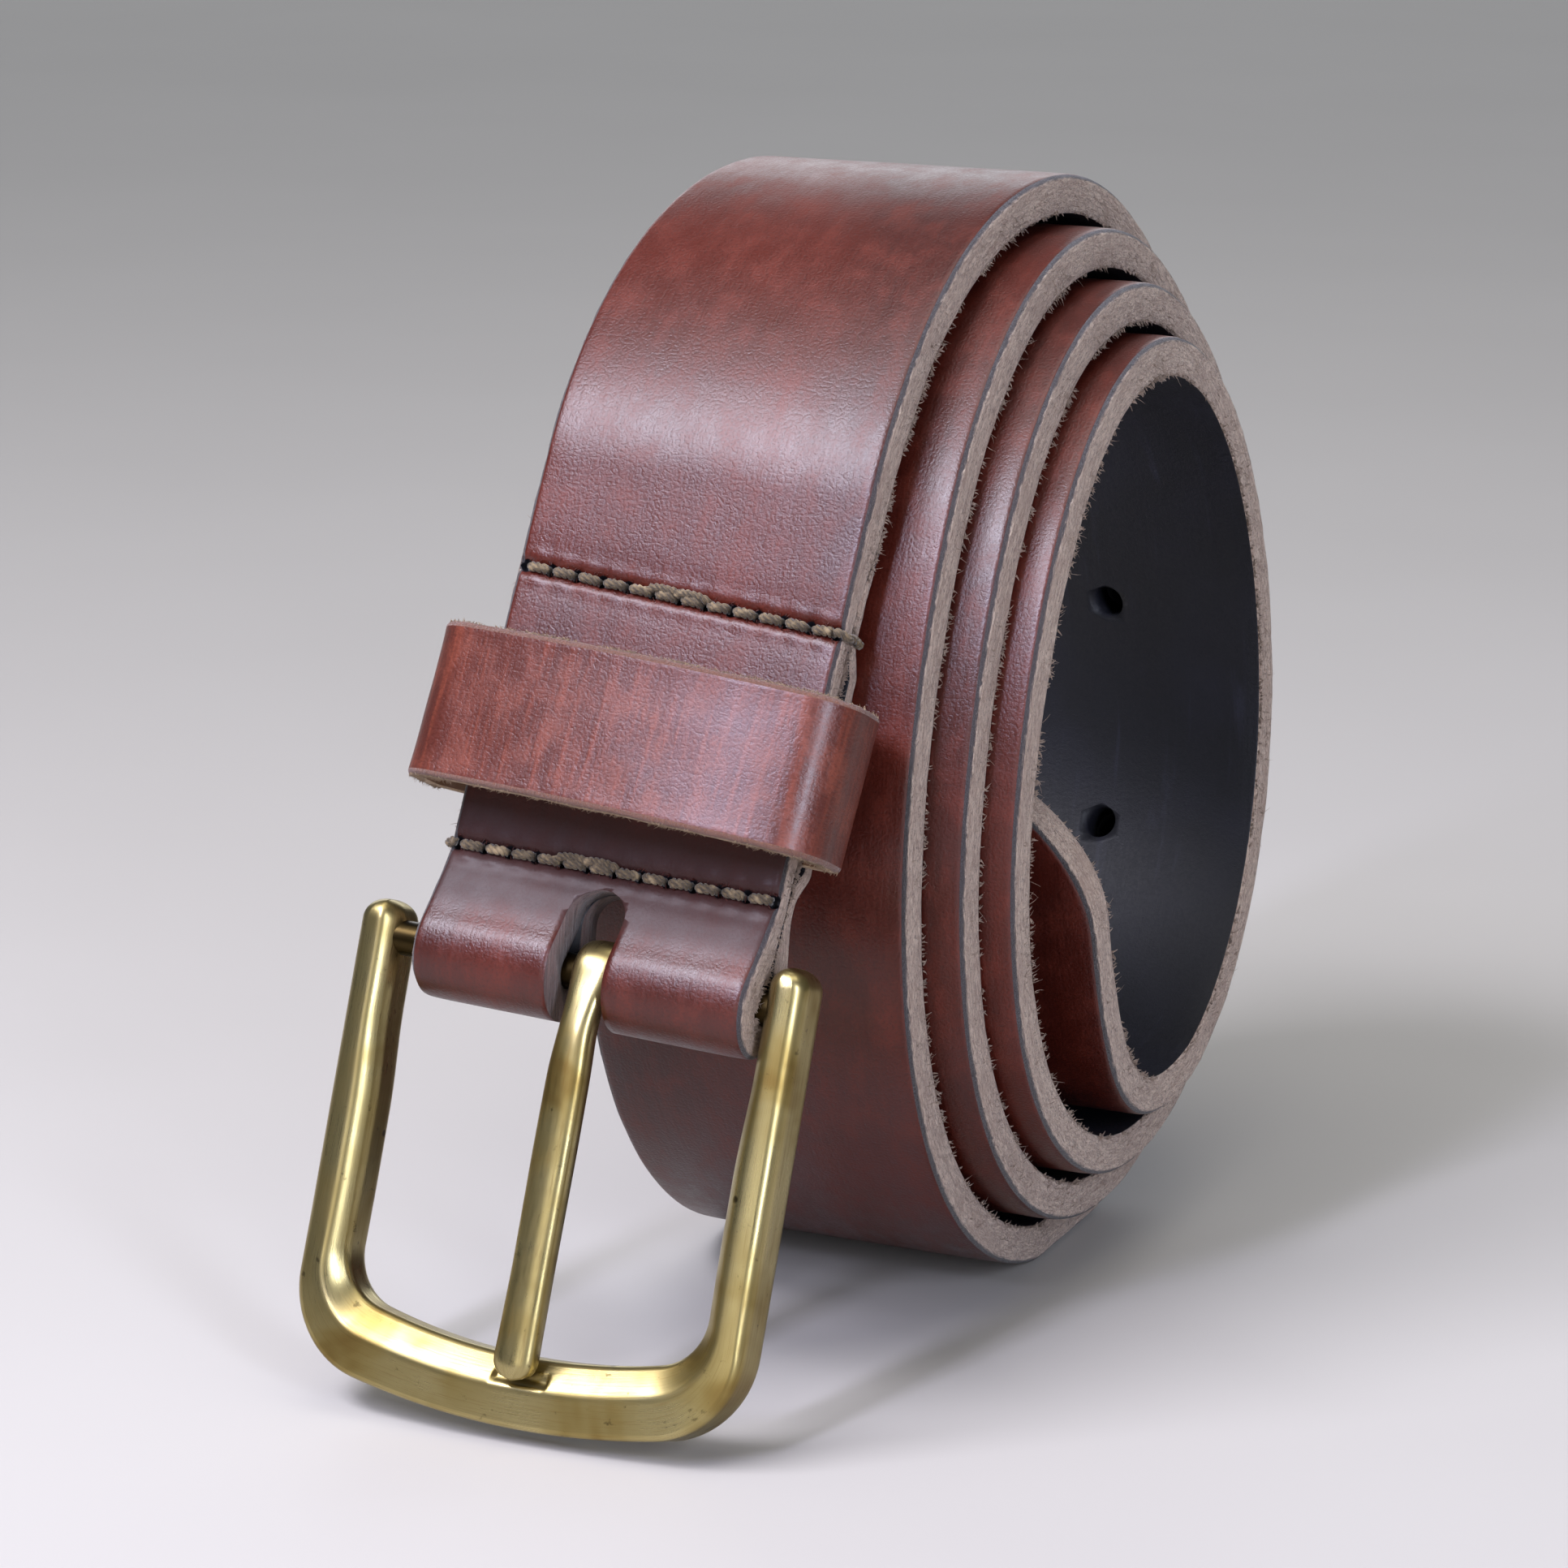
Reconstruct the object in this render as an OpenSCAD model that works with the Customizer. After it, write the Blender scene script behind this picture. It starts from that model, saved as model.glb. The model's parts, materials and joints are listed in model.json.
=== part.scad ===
// Leather belt, rolled up and standing on its outer turn, with the buckle end
// peeled off the front of the coil so that the buckle leans on the same surface.
//
// X runs across the strap, -Y is the front and +Z is up, in millimetres.
// The origin is the centre of the base of the whole rolled belt.
// The strap's path is measured on its smooth grain face, and the leather lies behind it.

/* [Strap] */
// Width of the strap
strap_w = 35; // [32:0.5:36]
// Thickness of the single strap
strap_t = 4.0; // [3.4:0.1:4]
// Thickness of the skived front layer at the buckle end
front_layer_t = 2.5; // [2.2:0.1:2.6]
// Thickness of the turned-back layer behind it
back_layer_t = 1.8; // [1.4:0.1:1.9]
// Thickness of the leather where it folds round the buckle bar
fold_t = 3.3; // [2.8:0.1:3.4]
// Diameter of the punched holes for the prong
hole_d = 3.6; // [3:0.1:4.5]
// Distance between the punched holes, measured on the innermost turn
hole_pitch = 25.4; // [20:0.2:26]
// Number of punched holes
hole_count = 5; // [3:1:7]

/* [Coil] */
// Mean radius of the outer turn
coil_r = 53.5; // [53:0.1:55]
// How much the whole coil leans up and forward of a circle
coil_drop = 7.2; // [6.6:0.1:7.4]
// How much the coil bulges to the back
coil_bulge = 2.8; // [2.4:0.1:3]
// How much taller than deep the coil stands
coil_oval = 3.5; // [3.2:0.1:3.7]
// Radial step from one turn to the next at the sides
turn_pitch = 4.2; // [4.15:0.05:4.3]
// Extra step at the crest and the base, where the turns stand apart
turn_gap = 1.0; // [0.8:0.1:1.2]
// Sideways step of the first inner turn
turn_shift = 4.9; // [4.2:0.1:5.2]
// How much the outer turn is pressed flat where it stands
rest_flat = 0.7; // [0.6:0.1:0.9]
// Distance of the tail's tip in front of the coil's centre
tail_reach = 25.4; // [20:0.2:26]
// Height of the tail's tip above the surface
tail_height = 56; // [50:0.5:60]

/* [Buckle end] */
// Height of the buckle bar above the surface
bar_height = 41.8; // [41.7:0.1:42.6]
// Distance of the buckle bar in front of the coil's centre
bar_reach = 59.7; // [59.4:0.1:61]
// Lean of the strap's end from the vertical
end_lean = 24.6; // [24:0.1:25]
// Slant of the strap's end within its own plane
end_slant = 3.7; // [3:0.1:4]
// Turn of the strap's end to the side
end_turn = 2.2; // [2:0.1:2.4]
// Height of the lower sewn row above the buckle bar
lower_row = 9.7; // [9.5:0.1:10]
// Height of the upper sewn row above the buckle bar
upper_row = 36.3; // [36.1:0.1:36.8]
// Slant of the upper sewn row
upper_row_slant = 3.0; // [1:0.1:3]
// Number of stitches in a row
stitch_count = 12; // [10:1:13]
// Thickness of the sewing thread
thread_d = 0.9; // [0.7:0.1:0.9]

/* [Keeper] */
// Width of the keeper along the strap
keeper_w = 15; // [13:0.5:16]
// Thickness of the keeper's leather
keeper_t = 1.6; // [1.4:0.1:1.7]
// Room in the keeper for the strap's tail
keeper_room = 5.0; // [4.7:0.1:5.4]
// How far the keeper's front bulges in its middle
keeper_bow = 2.2; // [1.2:0.1:2.6]
// Room beside the strap, on each side
keeper_side = 3.0; // [2.6:0.1:3.2]
// Height of the keeper's middle above the buckle bar
keeper_at = 21.6; // [21.2:0.1:23]
// Slant of the keeper, its right end lower
keeper_slant = 1.7; // [0:0.1:2]

/* [Buckle] */
// Outer width of the buckle frame
frame_w = 47.1; // [46.6:0.1:48]
// Length of the frame from knuckle tops to front corners
frame_l = 43.3; // [42.6:0.1:43.4]
// Width of the frame's arms
arm_w = 4.2; // [3.9:0.1:4.3]
// Thickness of the frame
frame_t = 5.4; // [5:0.1:5.6]
// Height of the front bar in the frame's plane
front_bar_h = 6.8; // [6.2:0.1:7.2]
// How far the front bar bows outward in its middle
front_bow = 3.5; // [3:0.1:3.6]
// Diameter of the pin that the strap folds round
bar_d = 3.4; // [2.8:0.1:3.5]
// How much less the buckle leans than the strap's end
buckle_lean = 6.0; // [5.8:0.1:7]
// How far the buckle hangs to the left of the strap's middle
frame_shift = 1.4; // [1:0.1:1.5]
// How much the frame stands askew on its bar, its right arm higher
frame_tilt = 1.1; // [0:0.1:1.2]
// Width of the prong
prong_w = 4.1; // [3.6:0.1:4.4]
// Thickness of the prong
prong_t = 2.8; // [2.4:0.1:3]
// How far the prong hangs to the right of the strap's middle
prong_shift = 0.7; // [0:0.1:0.7]

/* [Hidden] */

$fn = 48;
eps = 0.01;

// Colours
leather = [0.45, 0.17, 0.12];
leather_keeper = [0.50, 0.21, 0.14];
thread = [0.42, 0.36, 0.26];
brass = [0.68, 0.55, 0.27];
steel = [0.62, 0.62, 0.62];

// Where the coil's own centre lies, seen from the origin at the base's centre
coil_at = [-0.44, 11.95];
// Fit of a pin in its bore, all round
running_fit = 0.05;
// Room between pieces that slide or lie side by side
side_room = 0.15;

// Angles on the coil run from the crest, over the back, and inward turn by turn.
// The tail leaves the innermost turn at tail_start and stands up on its own.
tail_start = 1245;
coil_step = 5;
tail_handle = 20;
tail_steps = 14;
// How far the tail's tip lies to the side of where the tail starts
tail_side = 3.7;
// The last part of the tail's curve, where its tip is rounded
tip_share = 0.2;
tip_steps = 10;
// How much the turns sway sideways between front and back, and the outer turn's own place
turn_sway = 2.9;
turn_side = -2;
// How much the sideways step eases off from turn to turn
shift_ease = 0.33;
// Stretch of the end that is straight, above the buckle bar
straight_top = 48;
// The swept strap runs this far down into the block of the end, a hair inside its faces
sweep_overlap = 2;
sweep_inset = 0.03;
// Heights between which the strap is skived down under the turned-back layer
skive_top = 46;
skive_low = 38;
// Depth of the buckle bar's centre behind the grain face
bar_depth = (front_layer_t + back_layer_t) / 2;
// Handles of the curve from the crest down to the straight end
crest_handle = 23;
end_handle = 9;
free_steps = 24;
// Place of the buckle bar to the side of the coil's centre
end_side = -3.4;

// ---------- Small helpers ----------

function unit(v) = v / norm(v);

function turn_x(a, v) = [v.x, v.y * cos(a) - v.z * sin(a), v.y * sin(a) + v.z * cos(a)];
function turn_y(a, v) = [v.x * cos(a) + v.z * sin(a), v.y, v.z * cos(a) - v.x * sin(a)];
function turn_z(a, v) = [v.x * cos(a) - v.y * sin(a), v.x * sin(a) + v.y * cos(a), v.z];

// Where a line from point p touches a circle of radius r at the origin, on side s
function touch_point(p, r, s) =
    let (d = norm(p), a = atan2(p.y, p.x) + s * acos(r / d))
    [r * cos(a), r * sin(a)];

// ---------- Strap path ----------

// Radius of the grain face at angle a
function coil_radius(a) =
    coil_r - coil_drop * cos(a) + coil_bulge * sin(a) + coil_oval * cos(2 * a)
    - a / 360 * (turn_pitch + turn_gap * pow(cos(a), 2));

// Height of the coil's centre: the outer turn is pressed flat by rest_flat at the base
coil_z = coil_radius(180) - rest_flat;

// Sideways place of the strap's middle at angle a
function coil_x(a) =
    let (n = a / 360)
    turn_side + turn_shift * n - shift_ease * n * n - turn_sway * sin(a);

function coil_point(a) =
    let (r = coil_radius(a))
    [coil_at.x + coil_x(a), coil_at.y + r * sin(a), max(0, coil_z + r * cos(a))];

// Direction of travel from the tail to the crest, in the plane of the turns
function coil_heading(a) =
    let (d = coil_point(a - 1) - coil_point(a + 1))
    unit([0, d.y, d.z]);

// A curve from p to q with the handle points a and b, and its direction, at t from 0 to 1
function curve(p, a, b, q, t) =
    pow(1 - t, 3) * p + 3 * t * pow(1 - t, 2) * a + 3 * t * t * (1 - t) * b + pow(t, 3) * q;
function curve_heading(p, a, b, q, t) =
    unit(pow(1 - t, 2) * (a - p) + 2 * t * (1 - t) * (b - a) + t * t * (q - b));

// The tail's curve, from its tip (t = 0) to where it joins the innermost turn (t = 1)
tail_root = coil_point(tail_start);
tail_tip = [tail_root.x + tail_side, coil_at.y - tail_reach, tail_height];
tail_knee = [tail_root.x + tail_side / 2, coil_at.y - 0.68 * tail_reach, 0.44 * tail_height];
tail_out = tail_root - tail_handle * coil_heading(tail_start);

function tail_point(t) = curve(tail_tip, tail_knee, tail_out, tail_root, t);
function tail_heading(t) =
    let (h = curve_heading(tail_tip, tail_knee, tail_out, tail_root, t))
    unit([0, h.y, h.z]);

// The strap's end has its own frame: origin on the bar's axis, X across the strap,
// Z up along it and -Y out of its grain face.
end_origin = [coil_at.x + end_side, coil_at.y - bar_reach, bar_height];
function end_vector(v) = turn_z(end_turn, turn_x(-end_lean, turn_y(end_slant, v)));
function end_point(v) = end_origin + end_vector(v);

crest = coil_point(0);
end_top = end_point([0, -bar_depth, straight_top]);
crest_out = crest + crest_handle * coil_heading(0);
end_in = end_top + end_handle * end_vector([0, 0, 1]);

function free_point(t) = curve(crest, crest_out, end_in, end_top, t);
function free_heading(t) = curve_heading(crest, crest_out, end_in, end_top, t);

// Across direction at t: from the coil's to the end's, kept square to the path
function free_across(t) =
    let (
        h = free_heading(t),
        s = t * t * (3 - 2 * t),
        w = (1 - s) * [1, 0, 0] + s * end_vector([1, 0, 0])
    )
    unit(w - (w * h) * h);

// A station is [point on the grain face, across direction, outward normal, half width]
function station(p, across, heading, half) = [p, across, unit(cross(heading, across)), half];

// Half width at the rounded tail tip, f = 0 at the very end and 1 where the strap is full
function tip_half(f) = strap_w / 2 * sqrt(1 - pow(1 - f, 2));

tip_stations = [
    for (k = [1 : tip_steps])
        let (f = 1 - cos(90 * k / tip_steps), t = tip_share * f)
        station(tail_point(t), [1, 0, 0], tail_heading(t), tip_half(f))
];

tail_stations = [
    for (k = [1 : tail_steps])
        let (t = tip_share + (1 - tip_share) * k / tail_steps)
        station(tail_point(t), [1, 0, 0], tail_heading(t), strap_w / 2)
];

coil_stations = [
    for (a = [tail_start - coil_step : -coil_step : coil_step])
        station(coil_point(a), [1, 0, 0], coil_heading(a), strap_w / 2)
];

free_stations = [
    for (k = [0 : free_steps])
        let (t = k / free_steps)
        station(free_point(t), free_across(t), free_heading(t), strap_w / 2)
];

// The last station, inside the block of the end
root_station = station(
    end_point([0, sweep_inset - bar_depth, straight_top - sweep_overlap]),
    end_vector([1, 0, 0]), end_vector([0, 0, -1]), strap_w / 2 - sweep_inset
);

stations = concat(tip_stations, tail_stations, coil_stations, free_stations, [root_station]);

// ---------- Strap ----------

// One ring of the strap: a rectangle with its four corners just broken
function ring(s) =
    let (c = min(0.5, s[3] / 4), w = s[3], t = strap_t)
    [
        for (q = [
            [-w, -c], [-w + c, 0], [w - c, 0], [w, -c],
            [w, c - t], [w - c, -t], [c - w, -t], [-w, c - t]
        ])
        s[0] + q.x * s[1] + q.y * s[2]
    ];

module strap_sweep() {
    n = len(stations);
    m = 8;
    points = [for (s = stations) each ring(s)];
    sides = [
        for (i = [0 : n - 2], j = [0 : m - 1])
            let (a = i * m + j, b = i * m + (j + 1) % m)
            each [[a, b, a + m], [b, b + m, a + m]]
    ];
    first = [for (j = [m - 1 : -1 : 0]) j];
    last = [for (j = [0 : m - 1]) (n - 1) * m + j];
    polyhedron(points = points, faces = concat(sides, [first, last]), convexity = 12);
}

// Puts its children in the frame of the strap's end
module at_end() {
    translate(end_origin)
        rotate([-end_lean, 0, end_turn])
            rotate([0, end_slant, 0])
                children();
}

// Extrudes a side outline across X. In the outline, x is height along the strap
// and y is the distance in front of the bar's axis.
module across(width) {
    rotate([0, -90, 0])
        mirror([0, 1, 0])
            translate([0, 0, -width / 2])
                linear_extrude(width)
                    children();
}

// Distances of the layers' faces in front of the bar's axis
grain_y = bar_depth;
flesh_y = bar_depth - front_layer_t;
back_y = -bar_depth;
// The pocket between the layers, where the back of the keeper lies
pocket_depth = keeper_t + 2 * side_room;
pocket_low = lower_row + 1.2;
pocket_top = upper_row - 1.8;
pocket_ramp = 1.8;

block_top = straight_top - sweep_overlap / 2;

// Front layer, thickened to the full strap above the skive
module front_layer_outline() {
    polygon([
        [lower_row - 1, grain_y], [block_top, grain_y],
        [block_top, grain_y - strap_t - 0.02], [skive_top, grain_y - strap_t - 0.02],
        [skive_low, flesh_y], [lower_row - 1, flesh_y]
    ]);
}

// Turned-back layer: it lies on the front layer at both sewn rows, stands off it at the
// keeper's pocket, and thins out along the skive.
module back_layer_outline() {
    polygon([
        [lower_row - 1, flesh_y], [pocket_low, flesh_y],
        [pocket_low + pocket_ramp, flesh_y - pocket_depth],
        [pocket_top - pocket_ramp, flesh_y - pocket_depth],
        [pocket_top, flesh_y], [skive_low, flesh_y],
        [skive_top - 2, grain_y - strap_t + 0.3],
        [skive_top - 2, grain_y - strap_t - 0.2], [skive_low, back_y],
        [pocket_top + 0.5, back_y],
        [pocket_top - pocket_ramp + 0.5, back_y - pocket_depth],
        [pocket_low + pocket_ramp - 0.5, back_y - pocket_depth],
        [pocket_low - 0.5, back_y], [lower_row - 1, back_y]
    ]);
}

bore_r = bar_d / 2 + running_fit;
fold_r = bore_r + fold_t;

// A drop shape: a circle with two straight flanks up to height h, between y0 and y1
module drop_outline(r, h, y0, y1) {
    circle(r);
    polygon([[0, 0], touch_point([h, y1], r, 1), [h, y1], [h, y0], touch_point([h, y0], r, -1)]);
}

// The fold round the bar, up to where the layers meet under the sewn row
module fold_outline() {
    difference() {
        drop_outline(fold_r, lower_row - 1 + eps, back_y, grain_y);
        circle(bore_r);
    }
}

slot_w = prong_w + 1.9;
slot_top = 4.8;

// Slot for the prong: open at the fold, round at the top, through both layers
module prong_slot() {
    rotate([90, 0, 0])
        translate([0, 0, -fold_r - 2]) {
            translate([0, slot_top, 0])
                cylinder(d = slot_w, h = 2 * fold_r + 4);
            translate([-slot_w / 2, -fold_r - 2, 0])
                cube([slot_w, fold_r + 2 + slot_top, 2 * fold_r + 4]);
        }
}

// A punched hole through the innermost turn, at angle a
module punched_hole(a) {
    p = coil_point(a);
    h = coil_heading(a);
    translate(p)
        rotate([atan2(h.z, h.y), 0, 0])
            cylinder(d = hole_d, h = 3 * strap_t, center = true);
}

// The holes run up the back of the innermost turn. The second and third are at mid height.
second_hole = 1206;
hole_radius = 40;
function hole_angle(k) = second_hole + (1 - k) * hole_pitch / hole_radius * 180 / PI;

module strap() {
    color(leather)
        difference() {
            union() {
                strap_sweep();
                at_end()
                    across(strap_w) {
                        front_layer_outline();
                        back_layer_outline();
                        fold_outline();
                    }
            }
            at_end() {
                prong_slot();
                row_cuts(lower_row, 0);
                row_cuts(upper_row, upper_row_slant);
            }
            for (k = [0 : hole_count - 1])
                punched_hole(hole_angle(k));
        }
}

// ---------- Sewing ----------

stitch_pitch = (strap_w - 1.6) / stitch_count;
groove_d = 0.5;
groove_h = thread_d + 0.5;
leg_d = thread_d * 0.8;

function awl_x(k) = (k - stitch_count / 2) * stitch_pitch;

// Puts its children on a sewn row, at height h above the bar
module at_row(h, slant) {
    translate([0, 0, h])
        rotate([0, slant, 0])
            children();
}

// Grooves and awl holes that the thread lies in
module row_cuts(h, slant) {
    at_row(h, slant) {
        for (y = [-grain_y, -back_y])
            translate([-strap_w, y - groove_d, -groove_h / 2])
                cube([2 * strap_w, 2 * groove_d, groove_h]);
        for (k = [0 : stitch_count])
            translate([awl_x(k), 0, 0])
                rotate([90, 0, 0])
                    cylinder(d = leg_d + 0.2, h = 3 * strap_t, center = true, $fn = 16);
    }
}

// One saddle-stitched thread: stitches on both faces, joined through the awl holes
module stitch_row(h, slant) {
    stitch_y = grain_y - groove_d + thread_d / 2 + 0.1;
    at_end()
        at_row(h, slant) {
            for (side = [-1, 1], k = [0 : stitch_count - 1])
                translate([awl_x(k), side * stitch_y, 0])
                    rotate([0, 90, 0])
                        cylinder(d = thread_d, h = stitch_pitch, $fn = 16);
            for (k = [0 : stitch_count])
                translate([awl_x(k), 0, 0])
                    rotate([90, 0, 0])
                        cylinder(d = leg_d, h = 2 * stitch_y, center = true, $fn = 16);
        }
}

module stitch_row_lower() {
    color(thread) stitch_row(lower_row, 0);
}

module stitch_row_upper() {
    color(thread) stitch_row(upper_row, upper_row_slant);
}

// ---------- Keeper ----------

keeper_half = strap_w / 2 + keeper_side;
// How far the keeper hangs to the right of the strap's middle
keeper_shift = 0.5;
// Inside faces of the loop beside its corners, as distances in front of the bar's axis
keeper_front = grain_y + keeper_room;
keeper_back = flesh_y - side_room;
keeper_corner = 3.6;
keeper_back_corner = 2.6;
// The bulging front is one arc, from corner to corner
keeper_bow_r = (pow(keeper_half, 2) + pow(keeper_bow, 2)) / (2 * keeper_bow);
keeper_bow_y = keeper_bow_r - keeper_front - keeper_bow;

// A loop's outline, grown by g all round. Here x is across and y in front.
module keeper_outline(g) {
    r = keeper_back_corner + g;
    w = keeper_half - keeper_back_corner;
    y = -keeper_back - keeper_back_corner;
    corner = corner_at(keeper_half, keeper_corner, keeper_bow_r, keeper_bow_y);
    mirror([0, 1])
        polygon(concat(
            frame_edge(corner, keeper_corner + g, keeper_bow_r + g, keeper_bow_y),
            arc([w, y], r, 0, 90),
            arc([-w, y], r, 90, 180)
        ));
}

// The strip's ends butt together behind the front layer. One staple of flat wire bridges
// the seam: its crown lies sunk in the outer face, and its bent-over ends lie sunk in the
// inner face.
seam_gap = 0.3;
staple_d = 0.6;
staple_w = 7;
staple_end = 2.2;
staple_room = 0.05;

// The staple's wire, seen along the strap and grown by g. Here x is across and y in front.
module staple_wire(g) {
    difference() {
        translate([-staple_w / 2 - g, keeper_back - keeper_t - g])
            square([staple_w + 2 * g, keeper_t + 2 * g]);
        translate([staple_d + g - staple_w / 2, keeper_back - keeper_t + staple_d + g])
            square([staple_w - 2 * (staple_d + g), keeper_t - 2 * (staple_d + g)]);
        translate([staple_end + g - staple_w / 2, keeper_back - keeper_t + staple_d + g])
            square([staple_w - 2 * (staple_end + g), keeper_t]);
    }
}

// The staple at the middle of the keeper's width, grown by g all round
module staple_solid(g) {
    translate([0, 0, (keeper_w - staple_d) / 2 - g])
        linear_extrude(staple_d + 2 * g)
            staple_wire(g);
}

// Puts its children at the keeper's lower edge, with y measured in front of the bar's axis
module at_keeper() {
    at_end()
        translate([keeper_shift, 0, keeper_at])
            rotate([0, keeper_slant, 0])
                translate([0, 0, -keeper_w / 2])
                    mirror([0, 1, 0])
                        children();
}

module keeper_loop() {
    color(leather_keeper)
        at_keeper()
            difference() {
                linear_extrude(keeper_w)
                    difference() {
                        keeper_outline(keeper_t);
                        keeper_outline(0);
                        translate([-seam_gap / 2, keeper_back - 2 * keeper_t])
                            square([seam_gap, 3 * keeper_t]);
                    }
                staple_solid(staple_room);
            }
}

module keeper_staple() {
    color(steel)
        at_keeper()
            staple_solid(0);
}

// ---------- Buckle ----------

// The buckle leans less than the strap's end: its frame turns about the bar.
// Its middle lies at x across from the strap's middle.
module at_buckle(x) {
    at_end()
        rotate([buckle_lean, 0, 0])
            translate([x, 0, 0])
                children();
}

knuckle_top = 3.8;
front_z = knuckle_top - frame_l;
inner_w = frame_w - 2 * arm_w;
corner_r = 9.3;
window_r = 5.7;
arc_steps = 10;

// Points along an arc round c from angle a0 to a1
function arc(c, r, a0, a1, n = arc_steps) =
    [for (k = [0 : n]) let (a = a0 + (a1 - a0) * k / n) [c.x + r * cos(a), c.y + r * sin(a)]];

// Radius and centre height of a bowed edge that reaches down to z in the middle
outer_bow_r = (pow(frame_w / 2, 2) + pow(front_bow, 2)) / (2 * front_bow);
outer_bow_z = front_z - front_bow + outer_bow_r;
inner_bow_r = outer_bow_r * 0.8;
inner_bow_z = front_z - front_bow + front_bar_h + inner_bow_r;

// Centre of a corner of radius r that runs into a bowed edge and a side at half width x
function corner_at(x, r, bow_r, bow_z) =
    [x - r, bow_z - sqrt(pow(bow_r - r, 2) - pow(x - r, 2))];

outer_corner = corner_at(frame_w / 2, corner_r, outer_bow_r, outer_bow_z);
inner_corner = corner_at(inner_w / 2, window_r, inner_bow_r, inner_bow_z);
function bow_angle(corner, bow_z) = atan2(corner.x, bow_z - corner.y);

// One edge of the frame from the left arm, along the front bar and up the right arm
function frame_edge(corner, r, bow_r, bow_z) =
    let (q = bow_angle(corner, bow_z))
    concat(
        arc([-corner.x, corner.y], r, 180, 270 - q),
        arc([0, bow_z], bow_r, 270 - q, 270 + q, 2 * arc_steps),
        arc(corner, r, 270 + q, 360)
    );

// Front outline of the frame: two arms with round tops and a bowed front bar. Its outer
// edge is drawn in by g and its inner edge by h.
module frame_outline(g, h) {
    top = [(frame_w - arm_w + h - g) / 2, knuckle_top - arm_w / 2];
    top_r = (arm_w - g - h) / 2;
    inner = frame_edge(inner_corner, window_r + h, inner_bow_r + h, inner_bow_z);
    n = len(inner) - 1;
    polygon(concat(
        frame_edge(outer_corner, corner_r - g, outer_bow_r - g, outer_bow_z),
        arc(top, top_r, 0, 180),
        [for (k = [0 : n]) inner[n - k]],
        arc([-top.x, top.y], top_r, 0, 180)
    ));
}

// The frame is three stepped layers: its face is highest near the outer edge, and falls
// away towards the window. A layer is [outer edge in, inner edge in, height of its face].
frame_layers = [[0, 0, 0.9], [0.1, 0.8, 2.0], [0.5, 1.5, frame_t / 2]];

module frame_body() {
    rotate([90, 0, 0])
        for (f = frame_layers)
            translate([0, 0, -frame_t / 2])
                linear_extrude(frame_t / 2 + f[2])
                    rotate(frame_tilt)
                        frame_outline(f[0], f[1]);
}

pin_depth = 3.3;
pin_l = inner_w + 2 * pin_depth;
notch_w = prong_w + 1.2;
notch_d = 1.0;
notch_low = 3.7;

module buckle_frame() {
    color(brass)
        at_buckle(-frame_shift)
            difference() {
                frame_body();
                rotate([0, 90, 0])
                    cylinder(d = bar_d, h = pin_l, center = true);
                prong_notch();
            }
}

// A shallow seat for the prong's tip in the face of the front bar
module prong_notch() {
    translate([
        frame_shift + prong_shift - prong_w / 2 - 0.3,
        -frame_t / 2 - 1,
        front_z - front_bow + notch_low
    ])
        cube([notch_w, 1 + notch_d, front_bar_h]);
}

module buckle_bar() {
    color(brass)
        at_buckle(-frame_shift)
            rotate([0, 90, 0])
                cylinder(d = bar_d, h = pin_l, center = true);
}

// ---------- Prong ----------

eye_r = bore_r + 1.7;
prong_tip_z = front_z - front_bow + notch_low + 0.6;
// How far in front of the bar's axis the prong's front face stands, at the eye and at the tip
prong_root_y = eye_r;
prong_tip_y = frame_t / 2 - notch_d + side_room + prong_t;

// Side outline of the prong: an eye round the bar and a shank out to a rounded tip
module prong_outline() {
    tip_r = prong_t / 2;
    shoulder_z = -6.5;
    difference() {
        union() {
            circle(eye_r);
            polygon([
                [0, prong_root_y], [shoulder_z, prong_tip_y + 0.5],
                [prong_tip_z + tip_r, prong_tip_y],
                [prong_tip_z + tip_r, prong_tip_y - prong_t],
                [shoulder_z, prong_tip_y - prong_t - 0.1], [-2.4, -eye_r + 1.2], [0, 0]
            ]);
            translate([prong_tip_z + tip_r, prong_tip_y - tip_r])
                circle(tip_r);
        }
        circle(bore_r);
    }
}

module prong() {
    color(brass)
        at_buckle(prong_shift)
            across(prong_w)
                prong_outline();
}

strap();
keeper_loop();
keeper_staple();
stitch_row_lower();
stitch_row_upper();
buckle_frame();
buckle_bar();
prong();
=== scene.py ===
# Rolled leather belt with a brass buckle: the visual model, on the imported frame.
#
# Shapes are worked out in millimetres and turned into metres when a mesh is made.
# The strap's path repeats the formulas of the CAD model. The buckle end has its own frame:
# x across the strap, "out" away from its grain face and "up" along the strap.

import json
import math
import random

import bmesh
import bpy
import numpy as np
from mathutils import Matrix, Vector, noise


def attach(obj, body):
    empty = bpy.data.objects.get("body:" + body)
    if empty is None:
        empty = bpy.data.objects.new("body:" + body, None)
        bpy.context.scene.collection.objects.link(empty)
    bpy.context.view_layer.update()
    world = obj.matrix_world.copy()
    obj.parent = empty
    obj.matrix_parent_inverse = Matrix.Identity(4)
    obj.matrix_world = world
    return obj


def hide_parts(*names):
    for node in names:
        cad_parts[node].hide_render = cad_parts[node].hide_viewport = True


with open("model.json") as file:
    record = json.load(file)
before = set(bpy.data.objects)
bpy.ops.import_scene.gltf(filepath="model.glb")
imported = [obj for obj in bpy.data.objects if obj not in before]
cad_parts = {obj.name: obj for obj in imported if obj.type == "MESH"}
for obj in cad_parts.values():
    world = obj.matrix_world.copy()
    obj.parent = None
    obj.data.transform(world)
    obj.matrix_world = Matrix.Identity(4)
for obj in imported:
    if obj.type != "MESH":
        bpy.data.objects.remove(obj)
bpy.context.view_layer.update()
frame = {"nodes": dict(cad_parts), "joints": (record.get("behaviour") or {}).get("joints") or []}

MM = 0.001
random.seed(7)


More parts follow.
